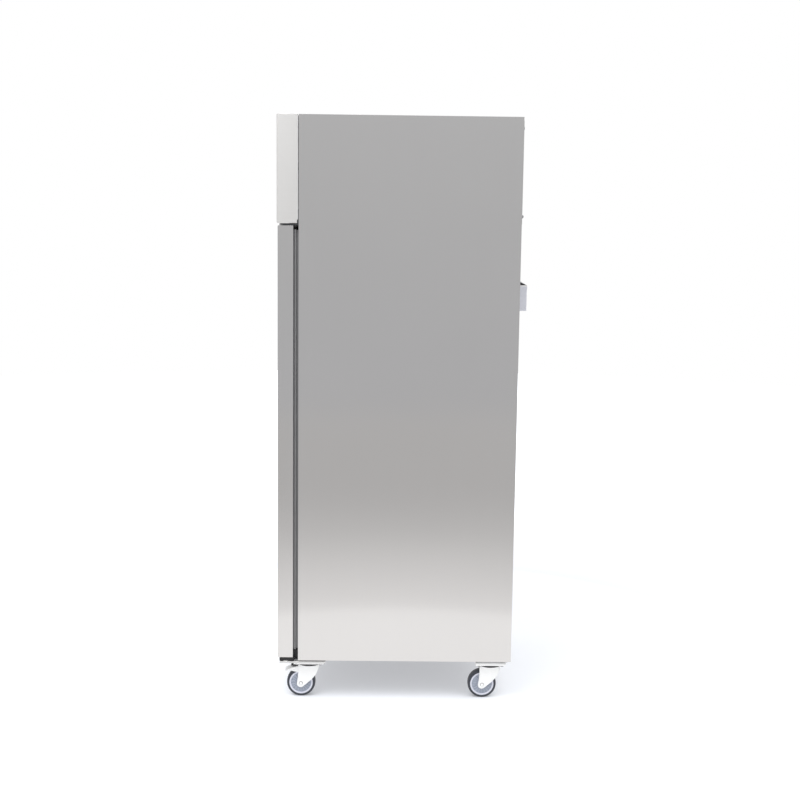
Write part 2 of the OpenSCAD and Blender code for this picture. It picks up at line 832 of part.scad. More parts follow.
module cable_gland() {
    color(black) difference() {
        union() {
            rod_y(gland_x, y_back - gland_in, y_back + skin_t, gland_z, gland_body_r);
            translate([gland_x, y_back - 6, gland_z]) rotate([-90, 0, 0]) cylinder(h = 6, r = gland_body_r + 4, $fn = 6);
            translate([gland_x, y_back + skin_t, gland_z]) rotate([-90, 0, 0])
                cylinder(h = 6, r = gland_body_r + 4, $fn = 6);
            rod_y(gland_x, y_back + skin_t + 5, y_back + skin_t + 20, gland_z, gland_body_r + 1);
        }
        rod_y(gland_x, y_back - gland_in - cut, y_back + skin_t + 20 + cut, gland_z, gland_r);
    }
}

module rear_cover() {
    color(steel) along_y(y_back, y_back + skin_t) difference() {
        rect(-x_side + 4, x_side - 4, cover_back_z0, cover_back_z1);
        for (side = [-1, 1], z = screw_zs) translate([side * screw_x, z]) circle(screw_r + screw_gap);
        translate([gland_x, gland_z]) circle(gland_body_r);
        for (side = [-1, 1], i = [0:6]) translate([side * 150, deck_z + 130 + 24 * i]) rect(-90, 90, 0, 8);
    }
}

module fasteners() {
    color(zinc) {
        both_sides() for (z = screw_zs) {
            rod_y(screw_x, y_back - skin_t - 8, y_back + skin_t, z, screw_r);
            rod_y(screw_x, y_back + skin_t, y_back + skin_t + 4.5, z, 5.5);
        }
        both_sides() for (swivel = [front_swivel, rear_swivel], x = [-1, 1] * bolt_w / 2, y = [-1, 1] * bolt_l / 2) {
            rod_z(caster_x + x, swivel + y, plate_top - plate_t, base_z, bolt_r);
            translate([caster_x + x, swivel + y, plate_top - plate_t - 5]) cylinder(h = 5, r = 7, $fn = 6);
        }
    }
}

tray_y1 = y_back + tray_out;
tray_z1 = drain_z - 47;
tray_z0 = tray_z1 - tray_h;
tray_t = 1.5;
drain_y = y_back + tray_out / 2;

module condensate_tray() {
    color(steel) difference() {
        union() {
            along_x(-tray_w / 2 + 1, tray_w / 2 - 1) polygon([[y_back, tray_z0], [tray_y1 - 1, tray_z0],
                [tray_y1 - 1, tray_z1], [y_back + tray_t, tray_z1 + 15], [y_back, tray_z1 + 15]]);
            box(-tray_w / 2, tray_w / 2, y_back, tray_y1, tray_z1 - 13, tray_z1);
        }
        box(-tray_w / 2 + 1 + tray_t, tray_w / 2 - 1 - tray_t, y_back + tray_t, tray_y1 - 1 - tray_t,
            tray_z0 + tray_t, tray_z1 + 15 + cut);
    }
}

module drain_path(r, more) {
    rod_y(0, pan_y1 - more, drain_y, drain_z, r);
    translate([0, drain_y, drain_z]) sphere(r);
    rod_z(0, drain_y, tray_z1 - 15 - more, drain_z, r);
}

module drain_tube() {
    color(white) difference() {
        drain_path(drain_r, 0);
        drain_path(drain_r - 2, cut);
    }
}

// Casters
wheel_r = wheel_d / 2;
race_r = 27;
race_w = 11;
race_h = 3.2;
fork_race_h = 4;
crown_t = 3;
crown_r = 38;
crown_z1 = plate_top - plate_t - race_h - seat_gap - fork_race_h;
crown_z0 = crown_z1 - crown_t;
king_r = 8;
king_head = 5;
axle_r = 5;
leg_t = 3;
leg_in = wheel_w / 2 + 4.5;
leg_out = leg_in + leg_t;
leg_front = 9.5;
leg_back = 36;
leg_end_r = 13.2;
tread_t = 9;
tyre_in = wheel_r - tread_t;
tyre_gap = 0.1;
brake_y = -2;
brake_rise = wheel_r + 7;
brake_pin_r = 2.5;

module caster_plate(swivel) {
    difference() {
        plate_block(swivel, plate_top - plate_t, plate_top);
        bolt_holes(swivel);
    }
    difference() {
        rod_z(caster_x, swivel, plate_top - plate_t - race_h, plate_top - plate_t, race_r);
        rod_z(caster_x, swivel, plate_top - plate_t - race_h - cut, plate_top - plate_t, race_r - race_w);
    }
    rod_z(caster_x, swivel, crown_z0 - seat_gap - king_head, plate_top - plate_t, king_r);
    rod_z(caster_x, swivel, crown_z0 - seat_gap - king_head, crown_z0 - seat_gap, king_r + king_head);
}

module caster_plates() {
    color(zinc) both_sides() for (swivel = [front_swivel, rear_swivel]) caster_plate(swivel);
}

module fork_leg(swivel) {
    y = swivel - trail;
    rise = crown_z1 - wheel_r;
    translate([y, wheel_r]) {
        polygon([[-14, -1], [-leg_front - 1.5, 20], [-leg_front, 38], [-leg_front, rise],
            [trail + leg_back, rise], [trail + leg_back - 1, rise - 9], [trail + 24, 32],
            [trail + 9.5, 14], [9, -11]]);
        translate([-1, -1.8]) circle(leg_end_r);
    }
}

module caster_fork(x, swivel, braked) {
    y = swivel - trail;
    color(zinc) {
        difference() {
            union() {
                rod_z(x, swivel, crown_z0, crown_z1, crown_r);
                box(x - leg_out, x + leg_out, y - leg_front, swivel + leg_back, crown_z0, crown_z1);
                difference() {
                    rod_z(x, swivel, crown_z1 - 1, crown_z1 + fork_race_h, race_r);
                    rod_z(x, swivel, crown_z1, crown_z1 + fork_race_h + cut, race_r - race_w);
                }
                along_x(x - leg_out, x - leg_in) fork_leg(swivel);
                along_x(x + leg_in, x + leg_out) fork_leg(swivel);
                if (braked) rod_x(x - leg_out, x + leg_out, y + brake_y, wheel_r + brake_rise, brake_pin_r);
            }
            rod_z(x, swivel, crown_z0 - cut, crown_z1 + cut, king_r + run_gap);
            rod_x(x - leg_out - cut, x + leg_out + cut, y, wheel_r, axle_r + run_gap);
        }
        rod_x(x - leg_out - 5, x + leg_out + 5, y, wheel_r, axle_r);
        for (side = [x - leg_out - 5, x + leg_out])
            translate([side, y, wheel_r]) rotate([0, 90, 0]) cylinder(h = 5, r = axle_r + 1.5, $fn = 6);
    }
}

module wheel(x, swivel) {
    translate([x, swivel - trail, wheel_r]) rotate([0, 90, 0]) {
        color(dark_grey) rotate_extrude() {
            round_rect(tyre_in + tyre_gap, wheel_r, -wheel_w / 2, wheel_w / 2, 4);
            rect(tyre_in + tyre_gap, tyre_in + 4, -wheel_w / 2, wheel_w / 2);
        }
        color(dull_steel) rotate_extrude() {
            rect(axle_r + run_gap, 12, -leg_in + seat_gap, leg_in - seat_gap);
            rect(11, tyre_in - 5, -wheel_w / 2 + 6, wheel_w / 2 - 6);
            rect(tyre_in - 6, tyre_in, -wheel_w / 2 + 0.5, wheel_w / 2 - 0.5);
        }
    }
}

// Outlines of the brake lever around its pin, as seen from the side
module lever_top() {
    polygon([[0, 5], [-12, 2.5], [-31, -2.5], [-54, -13], [-54, -16.5], [-33, -6.5], [-12, -1], [0, 1.5]]);
}

module lever_cheek() {
    polygon([[0, 5], [-12, 2.5], [-31, -2.5], [-37, -6.5], [-37, -10], [-32, -14], [-8, -19], [0, -19]]);
}

module lever_shoe() {
    polygon([[-8, 3], [-8, -5], [-10, -5.1], [-24, -7.9], [-24, -1]]);
}

module brake(x) {
    y = front_swivel - trail + brake_y;
    z = wheel_r + brake_rise;
    cheek_out = leg_in - 0.7;
    color(zinc) difference() {
        union() {
            translate([0, y, z]) {
                along_x(x - cheek_out, x + cheek_out) lever_top();
                for (side = [x - cheek_out, x + cheek_out - leg_t]) along_x(side, side + leg_t) lever_cheek();
                along_x(x - wheel_w / 2 + 4, x + wheel_w / 2 - 4) lever_shoe();
            }
            rod_x(x - cheek_out, x + cheek_out, y, z, 2 * brake_pin_r);
        }
        rod_x(x - leg_in, x + leg_in, y, z, brake_pin_r + run_gap);
    }
}

module caster_fork_fr() { caster_fork(caster_x, front_swivel, true); }
module caster_fork_fl() { caster_fork(-caster_x, front_swivel, true); }
module caster_fork_rr() { caster_fork(caster_x, rear_swivel, false); }
module caster_fork_rl() { caster_fork(-caster_x, rear_swivel, false); }
module wheel_fr() { wheel(caster_x, front_swivel); }
module wheel_fl() { wheel(-caster_x, front_swivel); }
module wheel_rr() { wheel(caster_x, rear_swivel); }
module wheel_rl() { wheel(-caster_x, rear_swivel); }
module brake_r() { brake(caster_x); }
module brake_l() { brake(-caster_x); }

// Door
grip_x0 = -x_side + grip_edge;
grip_x1 = grip_x0 + grip_w;
grip_t = 2;
panel_rise = 13;
gasket_t = front_zone - door_setback - door_t - seat_gap;

// Plan of the door, with the grip recess, drawn inside the sheet's thickness when inset
module door_plan(inset, y1) {
    difference() {
        rect(-x_side + inset, x_side - inset, door_y0 + inset, y1);
        rect(grip_x0 - inset, grip_x1 + inset, door_y0 - cut, door_y0 + grip_d + inset);
    }
}

module door_frame(margin) {
    rect(-x_side + margin, x_side - margin, door_z0 + margin, door_z1 - margin);
}

module door_ring(margin, width) {
    difference() {
        door_frame(margin);
        door_frame(margin + width);
    }
}

module lock_hole() {
    rod_y(lock_x, door_y0 - cut, door_y1 + cut, lock_z, case_r);
}

module bush_holes() {
    rod_z(hinge_x, hinge_y, door_z0 - cut, door_z0 + pin_len + 4, bush_r);
    rod_z(hinge_x, hinge_y, door_z1 - pin_len - 4, door_z1 + cut, bush_r);
}

module door_skin() {
    color(steel) difference() {
        translate([0, 0, door_z0]) linear_extrude(door_z1 - door_z0) door_plan(0, door_y1);
        translate([0, 0, door_z0 + skin_t]) linear_extrude(door_z1 - door_z0 - 2 * skin_t)
            door_plan(skin_t, door_y1 + cut);
        bush_holes();
        lock_hole();
    }
}

module door_foam() {
    color(foam_yellow) difference() {
        union() {
            translate([0, 0, door_z0 + skin_t]) linear_extrude(door_z1 - door_z0 - 2 * skin_t)
                door_plan(skin_t, door_y1 - liner_t);
            along_y(door_y1 - liner_t - cut, door_y1 + panel_rise - liner_t) door_frame(panel_in + liner_t);
        }
        bush_holes();
        lock_hole();
    }
}

module door_liner() {
    color(steel) difference() {
        union() {
            along_y(door_y1 - liner_t, door_y1) door_frame(skin_t);
            along_y(door_y1 - liner_t, door_y1 + panel_rise) door_frame(panel_in);
        }
        along_y(door_y1 - liner_t - cut, door_y1 + panel_rise - liner_t) door_frame(panel_in + liner_t);
        lock_hole();
    }
}

module door_gasket() {
    color(dark_grey) {
        along_y(door_y1, door_y1 + 3) door_ring(foot_in, gasket_w);
        along_y(door_y1 + 3, door_y1 + 9) door_ring(gasket_in, gasket_w + 2 * bead);
        along_y(door_y1 + 9, door_y1 + gasket_t) door_ring(foot_in + 1, gasket_w - 2);
    }
}

module door_grip() {
    color(dark_grey) {
        translate([0, 0, door_z0]) linear_extrude(door_z1 - door_z0) {
            difference() {
                rect(grip_x0, grip_x1, door_y0, door_y0 + grip_d);
                rect(grip_x0 + grip_t, grip_x1 - grip_t, door_y0 - cut, door_y0 + grip_d - grip_t);
            }
            rect(grip_x0, grip_x0 + grip_lip, door_y0, door_y0 + grip_t);
        }
        for (z = [door_z0, door_z1 - grip_t]) box(grip_x0, grip_x1, door_y0, door_y0 + grip_d, z, z + grip_t);
    }
}

module door_bushes() {
    color(black) {
        // The lower bush carries a round block, cut off at the door's sides, whose heel closes the
        // gap to the cabinet below the gasket
        translate([hinge_x, hinge_y, door_z0]) difference() {
            union() {
                cylinder(h = pin_len + 4, r = bush_r);
                translate([0, 0, -block_h]) intersection() {
                    cylinder(h = block_h, r = block_r);
                    translate([-block_r, door_y0 + plate_setback - hinge_y, -cut])
                        cube([block_r + hinge_in - 4, 2 * block_r, block_h + 2 * cut]);
                }
                translate([-block_r, door_y1 - hinge_y, base_z + heel_gap - door_z0])
                    cube([block_r - bead, y_face - heel_gap - door_y1,
                        door_z0 - base_z - heel_gap + gasket_in - seat_gap]);
            }
            translate([0, 0, -block_h - cut]) cylinder(h = block_h + pin_len + 8, r = pin_r + run_gap);
        }
        translate([hinge_x, hinge_y, door_z1]) mirror([0, 0, 1]) difference() {
            union() {
                cylinder(h = pin_len + 4, r = bush_r);
                translate([0, 0, -bush_flange_t]) cylinder(h = bush_flange_t, r = bush_r + 3);
            }
            translate([0, 0, -bush_flange_t - cut]) cylinder(h = pin_len + 8, r = pin_r + run_gap);
        }
    }
}

module lock_case() {
    color(zinc) difference() {
        union() {
            rod_y(lock_x, door_y0 - 1.5, door_y1, lock_z, case_r);
            rod_y(lock_x, door_y0 - 1.5, door_y0, lock_z, case_flange_r);
        }
        rod_y(lock_x, door_y0 - 1.5 - cut, door_y1 + cut, lock_z, barrel_r + run_gap);
    }
}

module lock_barrel() {
    color(zinc) {
        difference() {
            rod_y(lock_x, door_y0 - 1.2, cam_y + cam_t, lock_z, barrel_r);
            box(lock_x - 0.7, lock_x + 0.7, door_y0 - 1.2 - cut, door_y0 + 3, lock_z - 4, lock_z + 4);
        }
        box(lock_x - cam_len, lock_x, cam_y, cam_y + cam_t, lock_z - cam_w / 2, lock_z + cam_w / 2);
    }
}

// Front cover and its controls
ctrl_x = -180;
ctrl_z = cover_z0 + 200;
flange = 3;
button_len = 5;
button_gap = 0.3;
switch_x = ctrl_x + 90;
switch_w = 22;
switch_h = 30;
rocker_y = y_front + 8;
ear_x = bracket_x + bracket_t + 5;

module cover_ear() {
    along_x(ear_x, ear_x + 3) difference() {
        union() {
            translate([cover_axis_y, cover_axis_z]) circle(5.5);
            rect(cover_axis_y - 5.5, cover_axis_y + 4, cover_axis_z, total_h - skin_t + 0.1);
        }
        translate([cover_axis_y, cover_axis_z]) circle(cover_pin_r + run_gap);
    }
}

module front_cover() {
    color(steel) {
        difference() {
            box(-x_side, x_side, y_front, y_front + cover_d, cover_z0, total_h);
            box(-x_in, x_in, y_front + skin_t, y_front + cover_d + cut, cover_z0 + skin_t, total_h - skin_t);
            box(ctrl_x - panel_w / 2, ctrl_x + panel_w / 2, y_front - cut, y_front + 2 * skin_t,
                ctrl_z - panel_h / 2, ctrl_z + panel_h / 2);
            box(switch_x - switch_w / 2, switch_x + switch_w / 2, y_front - cut, y_front + 2 * skin_t,
                ctrl_z - switch_h / 2, ctrl_z + switch_h / 2);
            for (i = [0:6]) box(40, 290, y_front - cut, y_front + 2 * skin_t,
                cover_z0 + 36 + 20 * i, cover_z0 + 43 + 20 * i);
        }
        both_sides() cover_ear();
    }
}

function button_x(i) = ctrl_x + 4 + 12 * i;

module button_pocket(i) {
    rod_y(button_x(i), y_front - cut, y_front + button_len + button_travel + button_gap, ctrl_z,
        button_r + button_gap);
}

// Flush bezel with a flange behind the sheet and a body behind that
module panel_unit(x, w, h, body_w, body_h, body_d) {
    box(x - w / 2, x + w / 2, y_front, y_front + skin_t, ctrl_z - h / 2, ctrl_z + h / 2);
    box(x - w / 2 - flange, x + w / 2 + flange, y_front + skin_t, y_front + skin_t + 2,
        ctrl_z - h / 2 - flange, ctrl_z + h / 2 + flange);
    box(x - body_w / 2, x + body_w / 2, y_front + skin_t, y_front + body_d,
        ctrl_z - body_h / 2, ctrl_z + body_h / 2);
}

module controller() {
    color(black) {
        difference() {
            panel_unit(ctrl_x, panel_w, panel_h, panel_w - 8, panel_h - 8, 58);
            for (i = [0:2]) button_pocket(i);
            box(ctrl_x - panel_w / 2 + 6, ctrl_x - 5, y_front - cut, y_front + 0.6, ctrl_z - 11, ctrl_z + 11);
        }
        difference() {
            panel_unit(switch_x, switch_w, switch_h, switch_w - 3, switch_h - 4, 28);
            box(switch_x - 7.2, switch_x + 7.2, y_front - cut, y_front + 13, ctrl_z - 10.6, ctrl_z + 10.6);
            rod_x(switch_x - 9, switch_x + 9, rocker_y, ctrl_z, 1.2 + run_gap);
        }
    }
}

module button(i) {
    color(dull_steel) rod_y(button_x(i), y_front, y_front + button_len, ctrl_z, button_r);
}

module button_up() { button(0); }
module button_down() { button(1); }
module button_set() { button(2); }

module rocker_switch() {
    color("green") {
        along_x(switch_x - 6.9, switch_x + 6.9) translate([rocker_y, ctrl_z]) rotate(-rocker_deg / 2)
            rect(-6, 2, -9.5, 9.5);
        rod_x(switch_x - 8.8, switch_x + 8.8, rocker_y, ctrl_z, 1.2);
    }
}

side_panels();
back_panel();
bottom_panel();
deck_panel();
front_frame();
foam_insulation();
inner_liner();
cross_rails();
base_plates();
bottom_hinge();
top_hinge();
lock_keeper();
pilasters();
shelf_runners();
evaporator_coil();
evaporator_cover();
fan_motors();
drain_tube();
condensate_tray();
rear_cover();
fasteners();
unit_base();
compressor();
condenser_coil();
condenser_shroud();
refrigerant_pipes();
control_box();
wiring();
cable_gland();
interior_lamp();
caster_plates();
evaporator_fan_blade();
condenser_fan_blade();
shelf_1();
shelf_2();
shelf_3();
door_skin();
door_foam();
door_liner();
door_gasket();
door_grip();
door_bushes();
lock_case();
lock_barrel();
front_cover();
controller();
button_up();
button_down();
button_set();
rocker_switch();
caster_fork_fr();
caster_fork_fl();
caster_fork_rr();
caster_fork_rl();
wheel_fr();
wheel_fl();
wheel_rr();
wheel_rl();
brake_r();
brake_l();
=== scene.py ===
# %% [markdown]
# # An upright storage freezer in brushed stainless steel
# The CAD model gives every sheet, hinge and wheel its place, in metres. This lesson loads it as a
# fixed frame, sets the camera and the studio, and gives each piece its finish or a finer shape.
# The front faces -Y, the hinge side +X, and the floor is at Z = 0.

# %% Load the frame
import json
import math
import bmesh
import bpy
from mathutils import Matrix, Vector


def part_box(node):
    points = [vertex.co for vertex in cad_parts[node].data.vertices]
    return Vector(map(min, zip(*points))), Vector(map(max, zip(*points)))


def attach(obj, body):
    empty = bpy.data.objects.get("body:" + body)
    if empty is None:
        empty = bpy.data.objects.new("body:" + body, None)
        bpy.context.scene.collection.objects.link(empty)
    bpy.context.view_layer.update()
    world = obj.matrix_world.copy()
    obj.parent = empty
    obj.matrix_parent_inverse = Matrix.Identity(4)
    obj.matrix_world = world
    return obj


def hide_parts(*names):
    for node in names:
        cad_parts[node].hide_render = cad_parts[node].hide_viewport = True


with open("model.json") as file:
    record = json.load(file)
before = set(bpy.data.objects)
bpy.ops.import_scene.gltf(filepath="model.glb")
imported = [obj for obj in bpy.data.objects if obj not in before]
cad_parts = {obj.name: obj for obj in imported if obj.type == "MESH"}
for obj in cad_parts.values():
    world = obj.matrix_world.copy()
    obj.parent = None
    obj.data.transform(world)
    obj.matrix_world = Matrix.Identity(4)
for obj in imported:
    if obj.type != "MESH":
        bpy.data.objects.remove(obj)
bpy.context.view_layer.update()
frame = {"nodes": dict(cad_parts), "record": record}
nodes = frame["nodes"]
body_of = {node: body for body, members in frame["record"]["behaviour"]["bodies"].items()
                for node in members}
slot_of = {entry["node"]: entry["material_slot"] for entry in frame["record"]["subparts"]}
home = {node: (body_of[node], slot_of[node]) for node in nodes}

# %% [markdown]
# ## The camera
# The photo was taken square to the hinge side, from 4.5 m away and a little under the top edge,
# looking down by eight degrees. A long lens keeps the edges almost parallel. The camera's axes are
# built first, and the picture's small roll turns them.

# %% Camera
def new_object(name, data):
    made = bpy.data.objects.new(name, data)
    bpy.context.collection.objects.link(made)
    return made


eye = Vector((4.900, -0.059, 1.725))
yaw, pitch, roll = (math.radians(angle) for angle in (0.64, 8.31, 0.72))
focal_pixels, frame_pixels = 1350, 800
look = Vector((-math.cos(yaw) * math.cos(pitch), math.sin(yaw) * math.cos(pitch), -math.sin(pitch)))
level = Vector((math.sin(yaw), math.cos(yaw), 0.0))
upward = level.cross(look)
right = level * math.cos(roll) + upward * math.sin(roll)
up = upward * math.cos(roll) - level * math.sin(roll)
lens = bpy.data.cameras.new("photo_camera")
lens.sensor_width = 36.0
lens.lens = focal_pixels / frame_pixels * lens.sensor_width
lens.clip_end = 60
camera = new_object("photo_camera", lens)
turn = Matrix((right, up, -look)).transposed()
camera.matrix_world = Matrix.Translation(eye) @ turn.to_4x4()
bpy.context.scene.camera = camera
print("lens %.2f mm" % lens.lens)

# %% [markdown]
# ## Sums with sockets
# Shader maths reads best as plain Python: `Wire` wraps a socket, and each operator adds a Math node.
# `Finish` is a material, whose `node` method adds any node from its type, settings and inputs.

# %% Wire and Finish
class Wire:
    def __init__(self, finish, socket):
        self.finish, self.socket = finish, socket

    def math(self, operation, first, second):
        return self.finish.node("Math", {"operation": operation}, first, second)

    def __add__(self, other): return self.math("ADD", self, other)
    def __radd__(self, other): return self.math("ADD", other, self)
    def __sub__(self, other): return self.math("SUBTRACT", self, other)
    def __rsub__(self, other): return self.math("SUBTRACT", other, self)
    def __mul__(self, other): return self.math("MULTIPLY", self, other)
    def __rmul__(self, other): return self.math("MULTIPLY", other, self)
    def __truediv__(self, other): return self.math("DIVIDE", self, other)
    def __rtruediv__(self, other): return self.math("DIVIDE", other, self)
    def __gt__(self, other): return self.math("GREATER_THAN", self, other)
    def __lt__(self, other): return self.math("LESS_THAN", self, other)


class Finish:
    def __init__(self, name, **constants):
        self.material = bpy.data.materials.new(name)
        self.material.use_nodes = True
        self.tree = self.material.node_tree
        self.shader = self.tree.nodes["Principled BSDF"]
        self.set(**constants)

    def set(self, **sockets):
        for name, value in sockets.items():
            self.plug(self.shader.inputs[name.replace("_", " ")], value)

    def plug(self, socket, value):
        if isinstance(value, Wire):
            self.tree.links.new(value.socket, socket)
        elif isinstance(value, tuple) and len(value) == 3 and socket.type == "RGBA":
            socket.default_value = (*value, 1.0)
        else:
            socket.default_value = value

    def node(self, kind, settings, *inputs, out=0, **named):
        made = self.tree.nodes.new("ShaderNode" + kind)
        for name, value in settings.items():
            if name == "stops":
                ramp = made.color_ramp.elements
                while len(ramp) < len(value):
                    ramp.new(0.5)
                for stop, (place, colour) in zip(ramp, value):
                    stop.position, stop.color = place, (*colour, 1.0)
            else:
                setattr(made, name, value)
        for number, value in enumerate(inputs):
            self.plug(made.inputs[number], value)
        for name, value in named.items():
            self.plug(made.inputs[name.replace("_", " ")], value)
        return Wire(self, made.outputs[out])

    def place(self):
        """Object coordinates"""
        return self.node("TexCoord", {}, out=3)

    def noise(self, scale, detail=2.0):
        """Noise with `scale` cells to the metre"""
        spread = self.node("Mapping", {}, self.place(), Scale=scale)
        return self.node("TexNoise", {}, Vector=spread, Scale=1.0, Detail=detail, Roughness=0.5)

    def mix(self, amount, first, second):
        made = self.tree.nodes.new("ShaderNodeMix")
        made.data_type = "RGBA"
        self.plug(made.inputs[0], amount)
        self.plug(made.inputs[6], first)
        self.plug(made.inputs[7], second)
        return Wire(self, made.outputs[2])

    def bump(self, height, strength, distance):
        return self.node("Bump", {}, Strength=strength, Distance=distance, Height=height)


print("helpers ready")

# %% [markdown]
# ## The studio
# Brushed steel has hardly a colour of its own: it shows the room. In the photo a round white sheet
# lies under the freezer, the floor fades to grey past it, and a grey wall stands behind the camera.
# Discs are circles, inset and opened for a hole.

# %% Stage pieces
floor_radius, sheet_radius, room_radius, room_height = 9.0, 1.45, 6.9, 3.4


def mesh_of(name, shape):
    mesh = bpy.data.meshes.new(name)
    shape.to_mesh(mesh)
    shape.free()
    return mesh


def stage_piece(name, shape):
    made = new_object(name, mesh_of(name, shape))
    return made


def stage_disc(name, radius, height, hole=0.0):
    shape = bmesh.new()
    bmesh.ops.create_circle(shape, cap_ends=True, radius=radius, segments=192)
    if hole:
        middle = shape.faces[:]
        bmesh.ops.inset_region(shape, faces=middle, thickness=radius - hole, use_boundary=True,
                               use_even_offset=True)
        bmesh.ops.delete(shape, geom=middle, context="FACES")
    bmesh.ops.translate(shape, verts=shape.verts, vec=(0, 0, height))
    return stage_piece(name, shape)


def ring_ramp(finish, reach, stops):
    """Colours by the distance from the freezer's middle, up to `reach` metres"""
    x, y = (finish.node("SeparateXYZ", {}, finish.place(), out=axis) for axis in (0, 1))
    square = x * x + y * y
    distance = finish.node("Math", {"operation": "SQRT"}, square) / reach
    grey = [(place / reach, (tone * 1.015, tone, tone * 0.985)) for place, tone in stops]
    return finish.node("ValToRGB", {"stops": grey}, distance)


print("stage tools ready")

# %% [markdown]
# ## The floor
# The camera sees a white floor with a soft shadow: Ambient Occlusion darkens the paper close to the
# cabinet and the wheels. Metal that mirrors the floor sees an even white instead, and past the
# sheet a grey surround that only mirrors see.

# %% Floor
floor = stage_disc("studio_floor", floor_radius, 0.0)
floor_finish = Finish("white_floor", Roughness=1.0, Specular_IOR_Level=0.0)
seen, glossy, passed = (floor_finish.node("LightPath", {}, out="Is %s Ray" % ray)
                        for ray in ("Camera", "Glossy", "Transmission"))
mirrored = glossy + passed
far = ring_ramp(floor_finish, floor_radius, [(0.0, 0.0), (1.5, 0.0), (2.6, 0.8)])
open_sky = floor_finish.node("AmbientOcclusion", {"samples": 12}, Distance=0.5, out="AO")
contact = floor_finish.node("ValToRGB", {"stops": [(place, (tone, tone, tone)) for place, tone in (
    (0.1, 0.18), (0.3, 0.26), (0.42, 0.46), (0.6, 0.52))]}, open_sky)
paper = floor_finish.mix(seen, (0.8, 0.8, 0.8), (0.55, 0.565, 0.6))
floor_finish.set(Base_Color=floor_finish.mix(mirrored, paper, (0.12, 0.12, 0.12)),
                 Emission_Color=floor_finish.mix(mirrored, (0.95, 0.97, 1.0), (0.982, 0.969, 0.951)),
                 Emission_Strength=seen * (contact + far) + mirrored * 0.86)
floor.data.materials.append(floor_finish.material)

surround = stage_disc("grey_surround", room_radius, 0.002, hole=sheet_radius)
surround.visible_camera = surround.visible_shadow = False
surround_finish = Finish("grey_surround", Roughness=1.0, Specular_IOR_Level=0.0, Base_Color=(0, 0, 0))
surround_finish.set(Emission_Strength=1.0, Emission_Color=ring_ramp(surround_finish, 7.0, [
    (sheet_radius, 0.865), (1.6, 0.825), (1.9, 0.765), (2.3, 0.69), (2.8, 0.59), (3.4, 0.53), (3.9, 0.51),
    (7.0, 0.52)]))
surround.data.materials.append(surround_finish.material)
print("floor", floor.name, "and", surround.name)

# %% [markdown]
# ## The wall behind the camera, the sky and the lamp
# The wall is a circle of edges pushed up into a ring. Only mirrors see it, so the background stays
# white. A white world lights the freezer from all sides, and one large lamp overhead gives the
# forms their soft shade.

# %% Wall and light
ring = bmesh.new()
bmesh.ops.create_circle(ring, radius=room_radius, segments=96)
raised = bmesh.ops.extrude_edge_only(ring, edges=ring.edges[:])["geom"]
bmesh.ops.translate(ring, verts=[part for part in raised if isinstance(part, bmesh.types.BMVert)],
                    vec=(0, 0, room_height))
wall = stage_piece("studio_wall", ring)
wall.visible_camera = wall.visible_shadow = wall.visible_diffuse = False
wall_finish = Finish("grey_wall", Roughness=1.0, Specular_IOR_Level=0.0, Base_Color=(0, 0, 0))
wall_height = wall_finish.node("SeparateXYZ", {}, wall_finish.place(), out=2) / room_height
wall_grey = wall_finish.node("ValToRGB", {"stops": [
    (0.0, (0.50, 0.50, 0.505)), (0.5, (0.52, 0.52, 0.52)), (0.8, (0.55, 0.55, 0.55)),
    (1.0, (0.7, 0.7, 0.7))]}, wall_height)
wall_finish.set(Emission_Color=wall_grey, Emission_Strength=1.0)
wall.data.materials.append(wall_finish.material)

world = bpy.data.worlds.new("white_studio")
bpy.context.scene.world = world
world.use_nodes = True
world.node_tree.nodes["Background"].inputs["Color"].default_value = (1, 1, 1, 1)
world.node_tree.nodes["Background"].inputs["Strength"].default_value = 1.0

lamp_data = bpy.data.lights.new("overhead_softbox", "AREA")
lamp_data.shape, lamp_data.size, lamp_data.size_y, lamp_data.energy = "RECTANGLE", 2.6, 2.6, 90
lamp = new_object("overhead_softbox", lamp_data)
lamp.location = (2.2, -1.4, 4.6)
aim = Vector((0, 0, 1)) - Vector(lamp.location)
lamp.rotation_euler = aim.to_track_quat("-Z", "Y").to_euler()
bpy.context.scene.view_settings.view_transform = "Standard"
print("studio ready")

# %% [markdown]
# ## Brushed steel
# Fine scratches run up and down the panels, and from side to side on the front cover. They blur
# mirrored things across their length only, so the shader gets a low roughness and a strong
# anisotropy. A stretched noise draws the scratches, and a broad one makes the sheet a bit uneven.

# %% Steel finishes
def brushed(name, tone, roughness, grain=(260, 260, 3), anisotropic=0.9, turn=0.0, metallic=1.0):
    finish = Finish(name, Metallic=metallic, Anisotropic=anisotropic, Anisotropic_Rotation=turn)
    scratches = finish.noise(grain, detail=3)
    drift = finish.noise((2.1, 2.1, 5.0), detail=1)
    shade = 0.965 + scratches * 0.045 + drift * 0.03
    colour = finish.node("VectorMath", {"operation": "SCALE"}, tone, Scale=shade)
    finish.set(Base_Color=colour, Roughness=roughness + (scratches - 0.5) * 0.08 + (drift - 0.5) * 0.03,
               Normal=finish.bump(scratches, 0.15, 0.00002))
    return finish


panel_steel = brushed("panel_steel", (0.79, 0.782, 0.785), 0.16)
cover_steel = brushed("cover_steel", (0.65, 0.645, 0.64), 0.36, grain=(3, 3, 300), turn=0.25,
                      metallic=0.75)
lining_steel = brushed("lining_steel", (0.76, 0.765, 0.77), 0.3, anisotropic=0.5)
plain_steel = brushed("plain_steel", (0.66, 0.665, 0.675), 0.42, grain=(60, 60, 60), anisotropic=0.0,
                      metallic=0.9)
print("steel finishes ready")

# %% [markdown]
# ## Zinc, paint, plastic and rubber
# The casters and hinges are zinc plated, a pale metal with a slightly cloudy plating. Painted and
# moulded parts get a fine grain, some wear and a soft bump, because a perfectly even surface looks
# like no real material.

